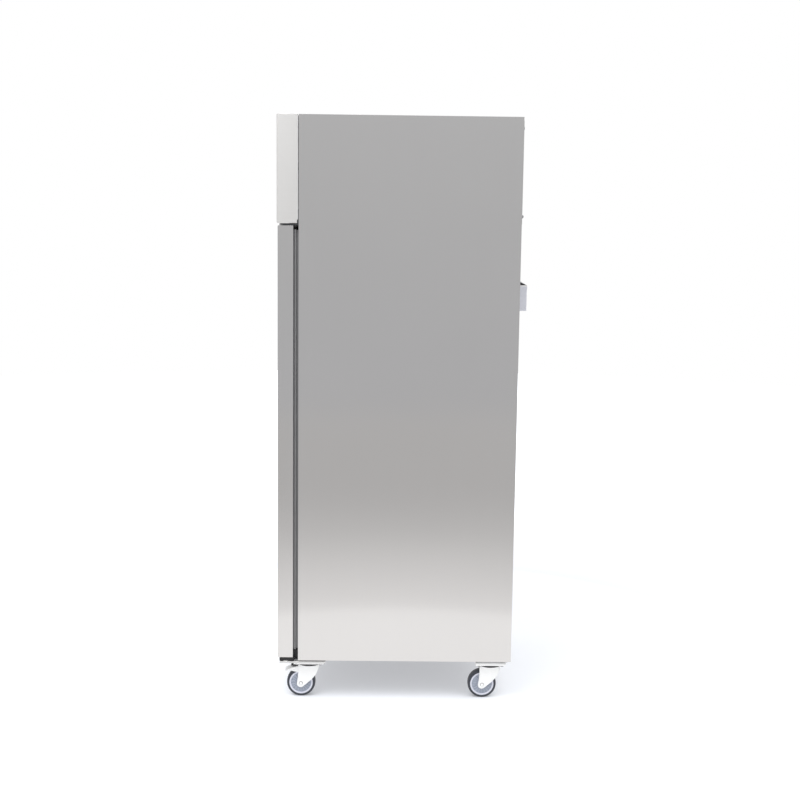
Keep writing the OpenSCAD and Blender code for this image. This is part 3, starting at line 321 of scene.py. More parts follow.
# %% Other finishes
def plated(name, tone, roughness, metallic=0.6):
    finish = Finish(name, Metallic=metallic)
    cloud = finish.noise((40, 40, 40), detail=4)
    speck = finish.noise((700, 700, 700), detail=2)
    shade = 0.95 + cloud * 0.06 + speck * 0.03
    finish.set(Base_Color=finish.node("VectorMath", {"operation": "SCALE"}, tone, Scale=shade),
               Roughness=roughness + (cloud - 0.5) * 0.2, Normal=finish.bump(speck, 0.2, 0.0001))
    return finish


def moulded(name, tone, roughness, grain=900, depth=0.0001, coat=0.0, metallic=0.0):
    finish = Finish(name, Metallic=metallic, Coat_Weight=coat)
    pebble = finish.noise((grain, grain, grain), detail=2)
    wear = finish.noise((25, 25, 25), detail=3)
    shade = 0.92 + pebble * 0.08 + wear * 0.08
    finish.set(Base_Color=finish.node("VectorMath", {"operation": "SCALE"}, tone, Scale=shade),
               Roughness=roughness + (wear - 0.5) * 0.15, Normal=finish.bump(pebble, 0.25, depth))
    return finish


zinc = plated("zinc_plating", (0.98, 0.99, 1.0), 0.42, metallic=0.1)
wire_zinc = plated("shelf_wire", (0.84, 0.85, 0.87), 0.3, metallic=0.9)
fin_metal = plated("fin_metal", (0.68, 0.69, 0.7), 0.4, metallic=0.9)
# This dark paint is the real colour of the dark-metal parts, and painted shade on the top hinge and in
# the screws' recesses.
dark_paint_and_shade = moulded("dark_paint_and_shade", (0.035, 0.038, 0.043), 0.45)
black_enamel = moulded("black_enamel", (0.012, 0.012, 0.014), 0.2, grain=200, depth=0.0002, coat=0.4)
copper_tube = plated("copper_tube", (0.76, 0.42, 0.28), 0.3, metallic=1.0)
white_plastic = moulded("white_plastic", (0.82, 0.83, 0.83), 0.4)
black_plastic = moulded("black_plastic", (0.018, 0.018, 0.02), 0.5)
grey_plastic = moulded("grey_plastic", (0.06, 0.062, 0.068), 0.45)
green_plastic = moulded("green_plastic", (0.02, 0.42, 0.09), 0.18, coat=0.3)
cable_rubber = moulded("cable_rubber", (0.02, 0.02, 0.022), 0.55)
seal_rubber = moulded("seal_rubber", (0.235, 0.235, 0.243), 0.4, metallic=0.5)
tread_rubber = moulded("tread_rubber", (0.045, 0.05, 0.065), 0.55, grain=500, depth=0.0003)
foam_core = moulded("foam_core", (0.86, 0.74, 0.46), 0.9, grain=350, depth=0.002)
screw_steel = plated("screw_steel", (0.36, 0.36, 0.37), 0.4, metallic=0.8)
print("other finishes ready")

# %% [markdown]
# ## Painted light and shade on one piece
# Some pieces get painted light and shade past a line: a painted highlight on the tray's rim with painted
# shade above it, painted shade on the front pads under the cabinet, and painted shade on the hinge plate
# below its top. Comparing a coordinate with a limit gives a mask of 0 or 1 that mixes the two tones.

# %% Zoned finishes
def zoned(finish, axis, zones):
    """Paint light and shade onto a finish past a height or depth: zones are (place, tone) pairs"""
    place = finish.node("SeparateXYZ", {}, finish.place(), out=axis)
    colour = Wire(finish, finish.shader.inputs["Base Color"].links[0].from_socket)
    for limit, tone in zones:
        colour = finish.mix(place > limit, colour, tone)
    finish.set(Base_Color=colour)
    return finish


upstand, tray_rim, hinge_top = 0.015, 0.0045, 0.1342
tray_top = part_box("condensate_tray")[1][2] - upstand
# Painted light and shade: a pale band on the rim is a painted highlight, and the end walls above it are
# painted near black as painted shade of the tray's open end.
tray_steel_painted_light_and_shade = zoned(plated("tray_steel_painted_light_and_shade", (0.82, 0.84, 0.92), 0.35, metallic=0.3), 2, [
    (tray_top - tray_rim, (0.98, 0.98, 1.0)), (tray_top + 0.0004, (0.04, 0.04, 0.042))])
# Painted shade: the pads are dark steel at the front, under the cabinet's edge, and pale at the back.
pad_steel_painted_shade = zoned(plated("pad_steel_painted_shade", (0.2, 0.2, 0.205), 0.45, metallic=0.7), 1, [
    (0.0, (0.75, 0.76, 0.77))])
# Painted shade: the bottom hinge is darkened below hinge_top and keeps pale zinc above it.
hinge_zinc_painted_shade = zoned(plated("hinge_zinc_painted_shade", (0.6, 0.6, 0.6), 0.45, metallic=0.2), 2, [
    (hinge_top, (0.96, 0.96, 0.96))])
print("materials:", len(bpy.data.materials))

# %% [markdown]
# ## Finishes for the CAD pieces
# Each CAD node names a material slot in its record. One table gives every slot its finish, and the
# other is for the nodes that look different from the rest of their slot.

# %% Assign finishes
finish_of_slot = {
    "brushed_steel": panel_steel, "dull_steel": plain_steel, "zinc_plated": zinc, "foam": foam_core,
    "fins": fin_metal, "dark_metal": dark_paint_and_shade, "black_enamel": black_enamel, "copper": copper_tube,
    "white_plastic": white_plastic, "black_plastic": black_plastic, "grey_plastic": grey_plastic,
    "green_plastic": green_plastic, "cable_rubber": cable_rubber, "gasket": seal_rubber,
    "tyre": tread_rubber}
finish_of_node = {
    "front_cover": cover_steel, "condensate_tray": tray_steel_painted_light_and_shade, "base_plates": pad_steel_painted_shade,
    # The top hinge gets the dark paint as painted shade of the gap above the door.
    "top_hinge": dark_paint_and_shade, "bottom_hinge": hinge_zinc_painted_shade, "fasteners": screw_steel,
    "shelf_1": wire_zinc, "shelf_2": wire_zinc, "shelf_3": wire_zinc}
for node in "inner_liner door_liner front_frame evaporator_cover pilasters shelf_runners".split():
    finish_of_node[node] = lining_steel


def finish_for(node):
    return finish_of_node.get(node, finish_of_slot[slot_of[node]])


for node, piece in nodes.items():
    piece.data.materials.clear()
    piece.data.materials.append(finish_for(node).material)
print("dressed", len(nodes), "nodes")

# %% [markdown]
# ## Tools for the pieces
# Sheet metal is never perfectly sharp: a thin round edge catches a line of light. `merged_copy`
# joins a CAD node's loose triangles into whole faces, and `add_shape` adds the Bevel modifier.

# %% Piece tools
def box_of(node):
    return [Vector(corner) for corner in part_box(node)]


def middle_of(node):
    low, high = box_of(node)
    return (low + high) / 2


def add_piece(name, data, finish, body, slot, *replaced):
    made = new_object(name, data)
    made.data.materials.append(finish.material)
    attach(made, body)
    if replaced:
        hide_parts(*replaced)
    return made


def add_shape(name, shape, finish, body, slot, *replaced, sharp=32, bevel=0.0, segments=2):
    """Turn a bmesh into a piece, smooth but for edges sharper than `sharp` degrees"""
    bmesh.ops.remove_doubles(shape, verts=shape.verts, dist=0.000002)
    bmesh.ops.recalc_face_normals(shape, faces=shape.faces)
    mesh = mesh_of(name, shape)
    mesh.shade_smooth()
    mesh.set_sharp_from_angle(angle=math.radians(sharp))
    made = add_piece(name, mesh, finish, body, slot, *replaced)
    if bevel:
        rounding = made.modifiers.new("round_edges", "BEVEL")
        rounding.width, rounding.segments, rounding.limit_method = bevel, segments, "ANGLE"
        rounding.angle_limit = math.radians(40)
        normals = made.modifiers.new("even_shading", "WEIGHTED_NORMAL")
        normals.keep_sharp = False
    return made


def merged_copy(node):
    shape = bmesh.new()
    shape.from_mesh(nodes[node].data)
    bmesh.ops.remove_doubles(shape, verts=shape.verts, dist=0.00002)
    bmesh.ops.dissolve_limit(shape, angle_limit=math.radians(1.5), verts=shape.verts, edges=shape.edges)
    return shape


def finished_copy(node, width, shape):
    add_shape(node + "_finished", shape, finish_for(node), *home[node], node, bevel=width)


print("piece tools ready")

# %% [markdown]
# ## Spun shapes, blocks and tubes
# `lathe` spins an outline into wheels, pins and the dark rings of painted shade over the ball races, and
# `both_faces` completes one that is the same on its two sides. `block` is a box, and `bent_tube` turns a
# route into a tube with bends.

# %% Shape tools
def lathe(shape, centre, axis, outline, steps=32, closed=True):
    """Spin an outline of (radius, place along the axis) points round the axis"""
    centre, axis = Vector(centre), Vector(axis)
    side = axis.orthogonal().normalized()
    points = [shape.verts.new(centre + side * radius + axis * place) for radius, place in outline]
    ends = points[1:] + points[:1] if closed else points[1:]
    edges = [shape.edges.new(pair) for pair in zip(points, ends)]
    bmesh.ops.spin(shape, geom=points + edges, cent=centre, axis=axis, dvec=(0, 0, 0),
                   angle=math.tau, steps=steps, use_merge=True, use_duplicate=False)


def both_faces(half):
    return half + [(radius, -place) for radius, place in reversed(half)]


def block(shape, low, high):
    low, high = Vector(low), Vector(high)
    size = Matrix.Diagonal((*(high - low), 1.0))
    place = Matrix.Translation((low + high) / 2) @ size
    return bmesh.ops.create_cube(shape, size=1.0, matrix=place)["verts"]


def bend_edges(shape, edges, radius, segments):
    bmesh.ops.bevel(shape, geom=edges, offset=radius, offset_type="OFFSET", segments=segments,
                    profile=0.5, affect="EDGES", material=-1)


def bent_tube(name, runs, radius, bend, finish, body, slot, *replaced):
    curve = bpy.data.curves.new(name, "CURVE")
    curve.dimensions, curve.bevel_depth, curve.bevel_resolution = "3D", radius, 4
    curve.resolution_u, curve.use_fill_caps = 8, True
    for corners in runs:
        corners = [Vector(corner) for corner in corners]
        places = [(corners[0],) * 3]
        for before, corner, after in zip(corners, corners[1:], corners[2:]):
            come, go = (corner - before).normalized(), (after - corner).normalized()
            start, end = corner - come * bend, corner + go * bend
            places.append((start, start, corner - come * bend * 0.45))
            places.append((corner + go * bend * 0.45, end, end))
        places.append((corners[-1],) * 3)
        spline = curve.splines.new("BEZIER")
        spline.bezier_points.add(len(places) - 1)
        for point, (left, place, right) in zip(spline.bezier_points, places):
            point.handle_left_type = point.handle_right_type = "FREE"
            point.co, point.handle_left, point.handle_right = place, left, right
    return add_piece(name, curve, finish, body, slot, *replaced)


print("shape tools ready")

# %% [markdown]
# ## Wheels
# Each wheel is a black rubber tyre on a blue-grey hub, with a pale ring between the two. The tyre's
# outline has a slightly crowned tread and is spun round the axle.

# %% Tyres and rims
tyre_rim = moulded("tyre_rim", (0.72, 0.74, 0.84), 0.45)
# Painted light and shade: the hub's blue-grey is darkened as painted shade in its recesses, and the ribs
# are painted paler as painted light.
hub_plastic_and_shade = moulded("hub_plastic_and_shade", (0.42, 0.46, 0.55), 0.42, grain=160)
rib_plastic_painted_light = moulded("rib_plastic_painted_light", (0.53, 0.57, 0.65), 0.4)
wheel_nodes = [node for node in nodes if node.startswith("wheel_")]
half_width, tyre_radius, rib_count = 0.016, 0.04999, 18


def add_tyre(node, centre, body, slot):
    w, tyre, rim = half_width, bmesh.new(), bmesh.new()
    lathe(tyre, centre, (1, 0, 0), both_faces([
        (0.0412, -w + 0.0004), (0.0455, -w), (0.0482, -w + 0.0012), (0.0494, -w + 0.0035),
        (tyre_radius, -w + 0.009)]) + [(0.0405, 0.0)], steps=96)
    add_shape(node + "_tyre", tyre, tread_rubber, body, slot, node)
    for side in (-1, 1):
        lathe(rim, centre, (side, 0, 0), [
            (0.0355, 0.0112), (0.0352, w - 0.0012), (0.036, w - 0.0003), (0.0402, w + 0.0002),
            (0.0411, w - 0.0006), (0.0411, 0.0112)], steps=96)
    add_shape(node + "_rim", rim, tyre_rim, body, slot)


print("tyre radius", tyre_radius)

# %% [markdown]
# ## Hubs and ribs
# The hub is spun too. Its face has a raised collar and thin ribs. The ribs are painted paler than the hub
# as painted light, and the hub's blue-grey is darkened as painted shade in the recesses between them. A
# rib is a short block between the collar and the rim, turned round the axle again and again.

# %% Hubs and ribs
def add_hub(node, centre, body, slot):
    hub, ribs = bmesh.new(), bmesh.new()
    lathe(hub, centre, (1, 0, 0), both_faces([
        (0.0052, -0.0195), (0.0095, -0.0195), (0.0108, -0.0185), (0.0116, -0.0122), (0.0125, -0.0114),
        (0.036, -0.0114), (0.0372, -0.0105), (0.0405, -0.0105)]), steps=48)
    add_shape(node + "_hub", hub, hub_plastic_and_shade, body, slot)
    for side in (-1, 1):
        lathe(ribs, centre, (side, 0, 0), [
            (0.0125, 0.0113), (0.0125, 0.0136), (0.0136, 0.0142), (0.0147, 0.0136),
            (0.0147, 0.0113)], steps=48)
        for number in range(rib_count):
            bar = block(ribs, centre + Vector((side * 0.013 - 0.0018, -0.0007, 0.0135)),
                        centre + Vector((side * 0.013 + 0.0018, 0.0007, 0.0353)))
            bmesh.ops.rotate(ribs, verts=bar, cent=centre,
                             matrix=Matrix.Rotation(math.tau * number / rib_count, 3, "X"))
    add_shape(node + "_ribs", ribs, rib_plastic_painted_light, body, slot)


for node in wheel_nodes:
    add_tyre(node, middle_of(node), *home[node])
    add_hub(node, middle_of(node), *home[node])
print("wheels:", len(wheel_nodes))

# %% [markdown]
# ## Casters
# Forks, plates and brake levers are pressed from zinc-plated steel, so their edges are rounded by about
# half a millimetre. The axle's heads are drawn in a little, so that the washer below each shows as a
# ring; its dark steel is partly its own tone and partly painted shade round the head. A black block over
# each brake lever is painted shade in the gap between the lever and the plate, and a sloping black ring,
# spun round the swivel's axis, is painted shade in the ball race's gap above each fork.

# %% Forks, washers, shade blocks and shade rings
leg_face, head_reach, trail, plate_low = 0.0235, 0.0088, 0.028, 0.1249
race_shade_rings = bmesh.new()
for wheel_node in wheel_nodes:
    node, axle = wheel_node.replace("wheel", "caster_fork"), middle_of(wheel_node)
    shape = merged_copy(node)
    heads = [v for v in shape.verts if abs(v.co.x - axle.x) > leg_face - 0.00002
             and (v.co - axle).yz.length < head_reach]
    bmesh.ops.scale(shape, verts=heads, vec=(1, 0.8, 0.8), space=Matrix.Translation(-axle))
    finished_copy(node, 0.0006, shape)
    # The washers' dark steel is partly their own tone and partly painted shade round the axle heads.
    washers = bmesh.new()
    for side in (-1, 1):
        lathe(washers, axle, (side, 0, 0), [
            (0.0035, leg_face), (0.0064, leg_face), (0.0064, leg_face + 0.0006),
            (0.0035, leg_face + 0.0006)])
    add_shape(node + "_washers", washers, screw_steel, body_of[node], "zinc_plated")
    if node.endswith(("_fl", "_fr")):
        # Painted shade: a black block fills the shaded gap between the brake lever and the plate.
        brake_shade = bmesh.new()
        block(brake_shade, axle + Vector((-0.0195, -0.0348, 0.0614)), axle + Vector((0.0195, -0.0096, 0.0652)))
        add_shape(node + "_brake_spring", brake_shade, black_plastic, body_of[node], "black_plastic",
                  bevel=0.0008)
    # Painted shade: a black ring fills the shaded gap of the ball race under each plate.
    lathe(race_shade_rings, (axle.x, axle.y + trail, 0), (0, 0, 1), [
        (0.0278, 0.1219), (0.0415, 0.1181), (0.0425, 0.1186), (0.0425, plate_low),
        (0.0278, plate_low)], steps=64)
add_shape("ball_race_shade", race_shade_rings, black_plastic, body_of["caster_plates"], "black_plastic")
print("casters ready")

# %% [markdown]
# ## Door gasket
# The gasket is soft and has three steps: a narrow foot in the door's groove, a wider bellows, and a strip
# with the magnet. The bellows is painted paler than the foot and the strip, as painted light where it
# catches the light. Each is a rectangle, inset to a frame, pushed out and rounded.

# %% Door gasket
def gasket_ring(name, low, high, width, finish, rounding):
    """A frame between two corners"""
    low, high = Vector(low), Vector(high)
    shape = bmesh.new()
    turn = Matrix.Rotation(math.radians(90), 4, "X")
    size = Matrix.Diagonal(((high.x - low.x) / 2, 1, (high.z - low.z) / 2, 1))
    place = Matrix.Translation(((low.x + high.x) / 2, low.y, (low.z + high.z) / 2))
    bmesh.ops.create_grid(shape, x_segments=1, y_segments=1, size=1.0, matrix=place @ size @ turn)
    middle = shape.faces[:]
    bmesh.ops.inset_region(shape, faces=middle, thickness=width, use_boundary=True, use_even_offset=True)
    bmesh.ops.delete(shape, geom=middle, context="FACES")
    pushed = bmesh.ops.extrude_face_region(shape, geom=shape.faces[:])["geom"]
    bmesh.ops.translate(shape, verts=[part for part in pushed if isinstance(part, bmesh.types.BMVert)],
                        vec=(0, high.y - low.y, 0))
    return add_shape(name, shape, finish, "door", "gasket", bevel=rounding, segments=3)


# Painted light: the bellows' paler grey stands for the light that it catches.
bellows_painted_light = moulded("bellows_painted_light", (0.40, 0.40, 0.412), 0.4, metallic=0.5)
low, high = box_of("door_gasket")
front, back, top_rise = low.y, high.y, 0.009
high.z += top_rise
bead = Vector((0.003, 0, 0.003))
foot_low, foot_high = low + bead, high - bead
foot = gasket_ring("gasket_foot", foot_low, (foot_high.x, front + 0.0031, foot_high.z), 0.02,
                   seal_rubber, 0.0003)
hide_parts("door_gasket")
gasket_ring("gasket_bellows", (low.x, front + 0.003, low.z), (high.x, front + 0.0093, high.z), 0.026,
            bellows_painted_light, 0.0022)
gasket_ring("gasket_magnet_strip", (foot_low.x + 0.001, front + 0.009, foot_low.z + 0.001),
            (foot_high.x - 0.001, back, foot_high.z - 0.001), 0.018, seal_rubber, 0.0012)
print("gasket front %.4f back %.4f" % (front, back))

# %% [markdown]
# ## Small changes to a copy
# Three kinds of pieces need more than rounded edges. The door and the front cover are folded from
# sheet, so their front edges get wide bends. The buttons' faces sink by the thickness of their
# marks. The rear cover's screws become thin discs under the domed heads that come later.

# %% Changed copies
mark_depth, fold_radius, rear_sheet, disc_height, near = 0.0003, 0.003, 0.3912, 0.0012, 0.0001


def folded_front(node):
    shape = merged_copy(node)
    low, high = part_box(node)

    def on(edge, axis, place):
        return all(abs(abs(v.co[axis]) - abs(place)) < near for v in edge.verts)

    border = [edge for edge in shape.edges if on(edge, 1, low[1]) and (
        on(edge, 0, high[0]) or on(edge, 2, low[2]) or on(edge, 2, high[2]))]
    bend_edges(shape, border, fold_radius, 4)
    return shape


def sunk_front(node):
    shape = merged_copy(node)
    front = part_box(node)[0][1]
    face = [v for v in shape.verts if v.co.y < front + near]
    bmesh.ops.translate(shape, verts=face, vec=(0, mark_depth, 0))
    return shape


def low_heads(node):
    shape = merged_copy(node)
    heads = [v for v in shape.verts if v.co.y > rear_sheet + 0.002 and v.co.z > 1.6]
    bmesh.ops.translate(shape, verts=heads, vec=(0, rear_sheet + disc_height - heads[0].co.y, 0))
    return shape


print("changes ready")

# %% [markdown]
# ## Sheets, hinges and boxes
# The other CAD pieces already have their true form. Their edges are rounded by as much as the real
# ones: a fine line on thin sheet, more on castings and mouldings.

# %% Rounded copies
nodes_of_width = {
    0.0: "front_frame inner_liner shelf_1 shelf_2 shelf_3",
    0.0003: "back_panel bottom_panel deck_panel",
    0.0004: "cross_rails pilasters shelf_runners evaporator_cover rear_cover",
    0.0005: "side_panels lock_barrel button_up button_down button_set",
    0.0006: "caster_plates brake_l brake_r base_plates lock_keeper condensate_tray unit_base cable_gland "
            "condenser_shroud door_skin door_bushes lock_case front_cover rocker_switch",
    0.0008: "fasteners bottom_hinge top_hinge door_liner door_grip controller",
    0.0012: "interior_lamp fan_motors",
    0.0015: "control_box"}
change_of_node = {
    "fasteners": low_heads, "door_skin": folded_front, "front_cover": folded_front,
    "button_up": sunk_front, "button_down": sunk_front, "button_set": sunk_front}
for width, names in nodes_of_width.items():
    for node in names.split():
        finished_copy(node, width, change_of_node.get(node, merged_copy)(node))
    print("rounded by %.1f mm:" % (width * 1000), names)

# %% [markdown]
# ## Buffer strips
# The front cover closes against the side panels with two pale strips of foam. Each is a block that
# stops just short of the panel's edge, so a thin dark line is left.

# %% Buffer strips
cover_low, cover_high = box_of("front_cover")
panel_front, dark_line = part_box("side_panels")[0][1], 0.0022
foam_strip = moulded("foam_strip", (0.6, 0.6, 0.605), 0.6)
strips = bmesh.new()
for inner, outer in ((-0.3696, -0.3662), (0.3662, 0.3696)):
    block(strips, (inner, cover_high.y - 0.003, cover_low.z + 0.012),
          (outer, panel_front - dark_line, cover_high.z - 0.004))
add_shape("cover_buffers", strips, foam_strip, "cover", slot_of["front_cover"])
print("cover back %.4f panel front %.4f" % (cover_high.y, panel_front))

# %% [markdown]
# ## Finned coils
# A coil is a row of thin aluminium fins on copper hairpins. One fin is a plain sheet that an Array
# modifier repeats, the end plates are blocks, and the hairpins' ends are tubes with a half turn.

# %% Coil tools
fin_sheet, fin_inset, plate_sheet, hairpin_radius = 0.0005, 0.002, 0.0016, 0.005


def finned_coil(node, low, high, foot, pitch, end_turns, bend):
    """Fins between two end plates, and hairpin turns as pairs of points at each end"""
    low, high = Vector(low), Vector(high)
    body, slot = home[node]
    first = low.x + plate_sheet + fin_inset
    fin, plates = bmesh.new(), bmesh.new()
    block(fin, (first, low.y, low.z), (first + fin_sheet, high.y, high.z))
    fins = add_shape(node + "_fins", fin, fin_metal, body, slot, node)
    repeat = fins.modifiers.new("repeat", "ARRAY")
    repeat.use_relative_offset, repeat.use_constant_offset = False, True
    repeat.constant_offset_displace = (pitch, 0, 0)
    repeat.count = int((high.x - low.x - 2 * plate_sheet - 2 * fin_inset) / pitch)
    for x in (low.x, high.x - plate_sheet):
        block(plates, (x, low.y, foot[0]), (x + plate_sheet, high.y, foot[1]))
    for place in foot:
        lip = 0.012 if place < low.z + 0.02 else 0.001
        for x in (low.x, high.x - lip):
            block(plates, (x, low.y, place - 0.0004), (x + lip, high.y, place + 0.0008))
    add_shape(node + "_end_plates", plates, plain_steel, body, slot, bevel=0.0004)
    turns = []
    for side, edge in ((-1, low.x), (1, high.x)):
        start, out = edge - side * 0.002, edge + side * bend
        turns += [[(start, *one), (out, *one), (out, *other), (start, *other)]
                  for one, other in end_turns[side]]
    bent_tube(node + "_hairpins", turns, hairpin_radius, bend * 0.98, copper_tube, body, "copper")
    return repeat.count


print("coil tools ready")

# %% [markdown]
# ## Where the hairpins turn
# A hairpin joins two neighbouring rows at one end of the coil, and the next one joins the second
# row to a third at the other end. So the pairs start with row 0 on one side and row 1 on the other.

# %% Condenser and evaporator
rows, condenser_y = [1.740 + 0.032 * step for step in range(6)], -0.223
pairs = {side: [((condenser_y, rows[i]), (condenser_y, rows[i + 1])) for i in range(start, 5, 2)]
         for side, start in ((-1, 1), (1, 0))}
pairs[-1].append(((condenser_y, 1.9), (condenser_y, 1.932)))
count = finned_coil("condenser_coil", (-0.06, -0.253, 1.69), (0.3, -0.193, 1.95), (1.6752, 1.9492),
                    0.0026, pairs, 0.016)
columns = [0.09 + 0.025 * step for step in range(7)]
pairs = {side: [((columns[i], z), (columns[i + 1], z)) for z in (1.532, 1.568)
                for i in range(start, stop, 2)] for side, start, stop in ((-1, 1, 5), (1, 0, 6))}
count += finned_coil("evaporator_coil", (-0.2215, 0.07, 1.51), (0.2215, 0.27, 1.59), (1.5056, 1.599),
                     0.0045, pairs, 0.0125)
print("fins:", count)

# %% [markdown]
# ## Fans
# A fan blade has more pitch at the hub than at the tip and is slightly hollow like a spoon. It
# starts as a grid that is bent by a formula, and a Solidify modifier gives it its thickness.

# %% Fan wheels
root_pitch, pitch_loss, blade_sheet, bore = 40, 20, 0.0014, 0.0031


def bent_blade(made, hub_radius, tip_radius, chord):
    """Bend a flat grid of unit size into one blade along +X"""
    root = hub_radius - 0.0015
    for vertex in made:
        along, across = vertex.co.x + 0.5, vertex.co.y
        reach = root + along * (tip_radius - root)
        width = chord * (0.72 + 0.42 * along - 0.32 * along ** 4)
        pitch = math.radians(root_pitch - pitch_loss * along)
        hollow = 0.06 * chord * (1 - 4 * across * across)
        sweep = across * width * math.cos(pitch) + 0.10 * tip_radius * along * along
        bend = sweep / max(reach, 0.02)
        height = across * width * math.sin(pitch) + hollow
        vertex.co = (reach * math.cos(bend), reach * math.sin(bend), height)


def fan_wheel(node, centre, axis, hub_radius, tip_radius, hub_height, count, chord):
    body, slot = home[node]
    to_axis = Vector((0, 0, 1)).rotation_difference(Vector(axis)).to_matrix().to_4x4()
    shape = bmesh.new()
    for number in range(count):
        made = bmesh.ops.create_grid(shape, x_segments=8, y_segments=6, size=0.5)["verts"]
        bent_blade(made, hub_radius, tip_radius, chord)
        bmesh.ops.rotate(shape, verts=made, cent=(0, 0, 0),
                         matrix=Matrix.Rotation(math.tau * number / count, 3, "Z"))
    bmesh.ops.transform(shape, verts=shape.verts, matrix=Matrix.Translation(centre) @ to_axis)
    blades = add_shape(node + "_blades", shape, finish_for(node), body, slot, node, sharp=60)
    sheet = blades.modifiers.new("sheet", "SOLIDIFY")
    sheet.thickness, sheet.offset = blade_sheet, 0.0
    hub, half = bmesh.new(), hub_height / 2
    lathe(hub, centre, axis, [
        (bore, -half), (hub_radius - 0.002, -half), (hub_radius, -half + 0.0015),
        (hub_radius, half - 0.0015), (hub_radius - 0.002, half), (hub_radius * 0.55, half),
        (hub_radius * 0.5, half - 0.003), (bore, half - 0.003)], steps=48)
    add_shape(node + "_hub", hub, finish_for(node), body, slot)


condenser_fan, evaporator_fan = (0.12, -0.157, 1.82), (0.0, -0.06, 1.51)
fan_wheel("condenser_fan_blade", condenser_fan, (0, -1, 0), 0.018, 0.1125, 0.024, 5, 0.07)
fan_wheel("evaporator_fan_blade", evaporator_fan, (0, 0, -1), 0.014, 0.0755, 0.02, 7, 0.038)
print("fan wheels ready")

# %% [markdown]
# ## Fan guard
# The condenser fan's guard has wire rings, each a small outline spun at a large radius, on four bent
# spokes that cross in the middle.

# %% Fan guard
guard, guard_wire = bmesh.new(), 0.0011
fan_x, _, fan_z = condenser_fan
shroud = home["condenser_shroud"]
fifths = (0, 1.257, 2.513, 3.77, 5.027)
for radius in (0.03, 0.048, 0.066, 0.084, 0.102, 0.120):
    wire = [(radius + guard_wire * math.cos(a), guard_wire * math.sin(a)) for a in fifths]
    lathe(guard, (fan_x, -0.1385, fan_z), (0, 1, 0), wire, steps=64)
add_shape("fan_guard_rings", guard, black_enamel, *shroud, sharp=80)
spokes, spoke_reach, spoke_back, spoke_front = [], 0.124, -0.1525, -0.1365
for step in range(4):
    angle = math.radians(22.5 + 45 * step)
    reach_x, reach_z = spoke_reach * math.cos(angle), spoke_reach * math.sin(angle)
    (x1, z1), (x2, z2) = [(fan_x + side * reach_x, fan_z + side * reach_z) for side in (-1, 1)]
    spokes.append([(x1, spoke_back, z1), (x1, spoke_front, z1), (x2, spoke_front, z2),
                   (x2, spoke_back, z2)])
bent_tube("fan_guard_spokes", spokes, 0.0013, 0.006, black_enamel, *shroud)
print("fans ready")

# %% [markdown]
# ## Compressor
# The hermetic shell is two deep-drawn halves, welded round the middle, so it is one spun outline
# with a small bead. Its round ends are quarter circles in steps of 15 degrees.

# %% Compressor shell
pump = Vector((0.13, 0.117, 1.693))
body, slot = home["compressor"]
bow = [math.radians(15 * step) for step in range(7)]
outline = [(0.0, 0.0)] + [(0.061 + 0.034 * math.sin(a), 0.034 - 0.034 * math.cos(a)) for a in bow]
outline += [(0.095, 0.092), (0.0965, 0.0935), (0.0975, 0.0965), (0.0965, 0.0995), (0.0935, 0.1005)]
outline += [(0.0475 + 0.046 * math.cos(a), 0.150 + 0.048 * math.sin(a)) for a in bow]
outline += [(0.02, 0.1995), (0.0, 0.2)]
shell = bmesh.new()
lathe(shell, pump, (0, 0, 1), outline, steps=96, closed=False)
add_shape("compressor_shell", shell, black_enamel, body, slot, "compressor", sharp=50)
print("shell ready")

# %% [markdown]
# ## The compressor's feet
# It stands on a pressed plate, whose upright edges are bevelled round, and on four spun rubber
# mounts with waists. Each stud is a spun washer and pin with a six-sided nut.

# %% Compressor feet
feet, mounts, studs = bmesh.new(), bmesh.new(), bmesh.new()
block(feet, pump + Vector((-0.1, -0.08, -0.003)), pump + Vector((0.1, 0.08, 0.0)))
upright = [edge for edge in feet.edges if abs((edge.verts[0].co - edge.verts[1].co).z) > 0.002]
bend_edges(feet, upright, 0.018, 6)
add_shape("compressor_foot_plate", feet, black_enamel, body, slot, bevel=0.0006)
for x in (-0.085, 0.085):
    for y in (-0.065, 0.065):
        spot = pump + Vector((x, y, 0))
        lathe(mounts, spot, (0, 0, 1), [
            (0.0, -0.018), (0.012, -0.018), (0.0125, -0.014), (0.0095, -0.011), (0.0125, -0.008),
            (0.012, -0.003), (0.0, -0.003)], closed=False)
        lathe(studs, spot, (0, 0, 1), [
            (0.0, 0.0), (0.0085, 0.0), (0.0085, 0.0012), (0.003, 0.0012), (0.003, 0.009), (0.0, 0.0095)],
            steps=24, closed=False)
        bmesh.ops.create_cone(studs, cap_ends=True, segments=6, radius1=0.0065, radius2=0.0065,
                              depth=0.005, matrix=Matrix.Translation(spot + Vector((0, 0, 0.0037))))
add_shape("compressor_mounts", mounts, tread_rubber, body, "tyre")
add_shape("compressor_studs", studs, screw_steel, body, "zinc_plated")
print("feet ready")

# %% [markdown]
# ## The compressor's connections
# The terminal box is a block with a clip over it, and two short copper ports take the pipes.

# %% Terminal box and ports
terminal, ports = bmesh.new(), bmesh.new()
block(terminal, pump + Vector((-0.117, -0.027, 0.06)), pump + Vector((-0.07, 0.027, 0.13)))
block(terminal, pump + Vector((-0.1175, -0.0055, 0.058)), pump + Vector((-0.07, 0.0055, 0.132)))
add_shape("compressor_terminal_box", terminal, black_plastic, body, slot, bevel=0.002, segments=3)
for start, way, radius, length in (((0.1, -0.003, 1.76), 1, 0.0075, 0.05),
                                   ((0.14, 0.227, 1.76), -1, 0.008, 0.045)):
    lathe(ports, start, (0, way, 0), [
        (0.0, 0.0), (radius - 0.0007, 0.0), (radius, 0.001), (radius, length), (0.0, length)],
        closed=False)
add_shape("compressor_ports", ports, copper_tube, body, "copper")
print("compressor ready")

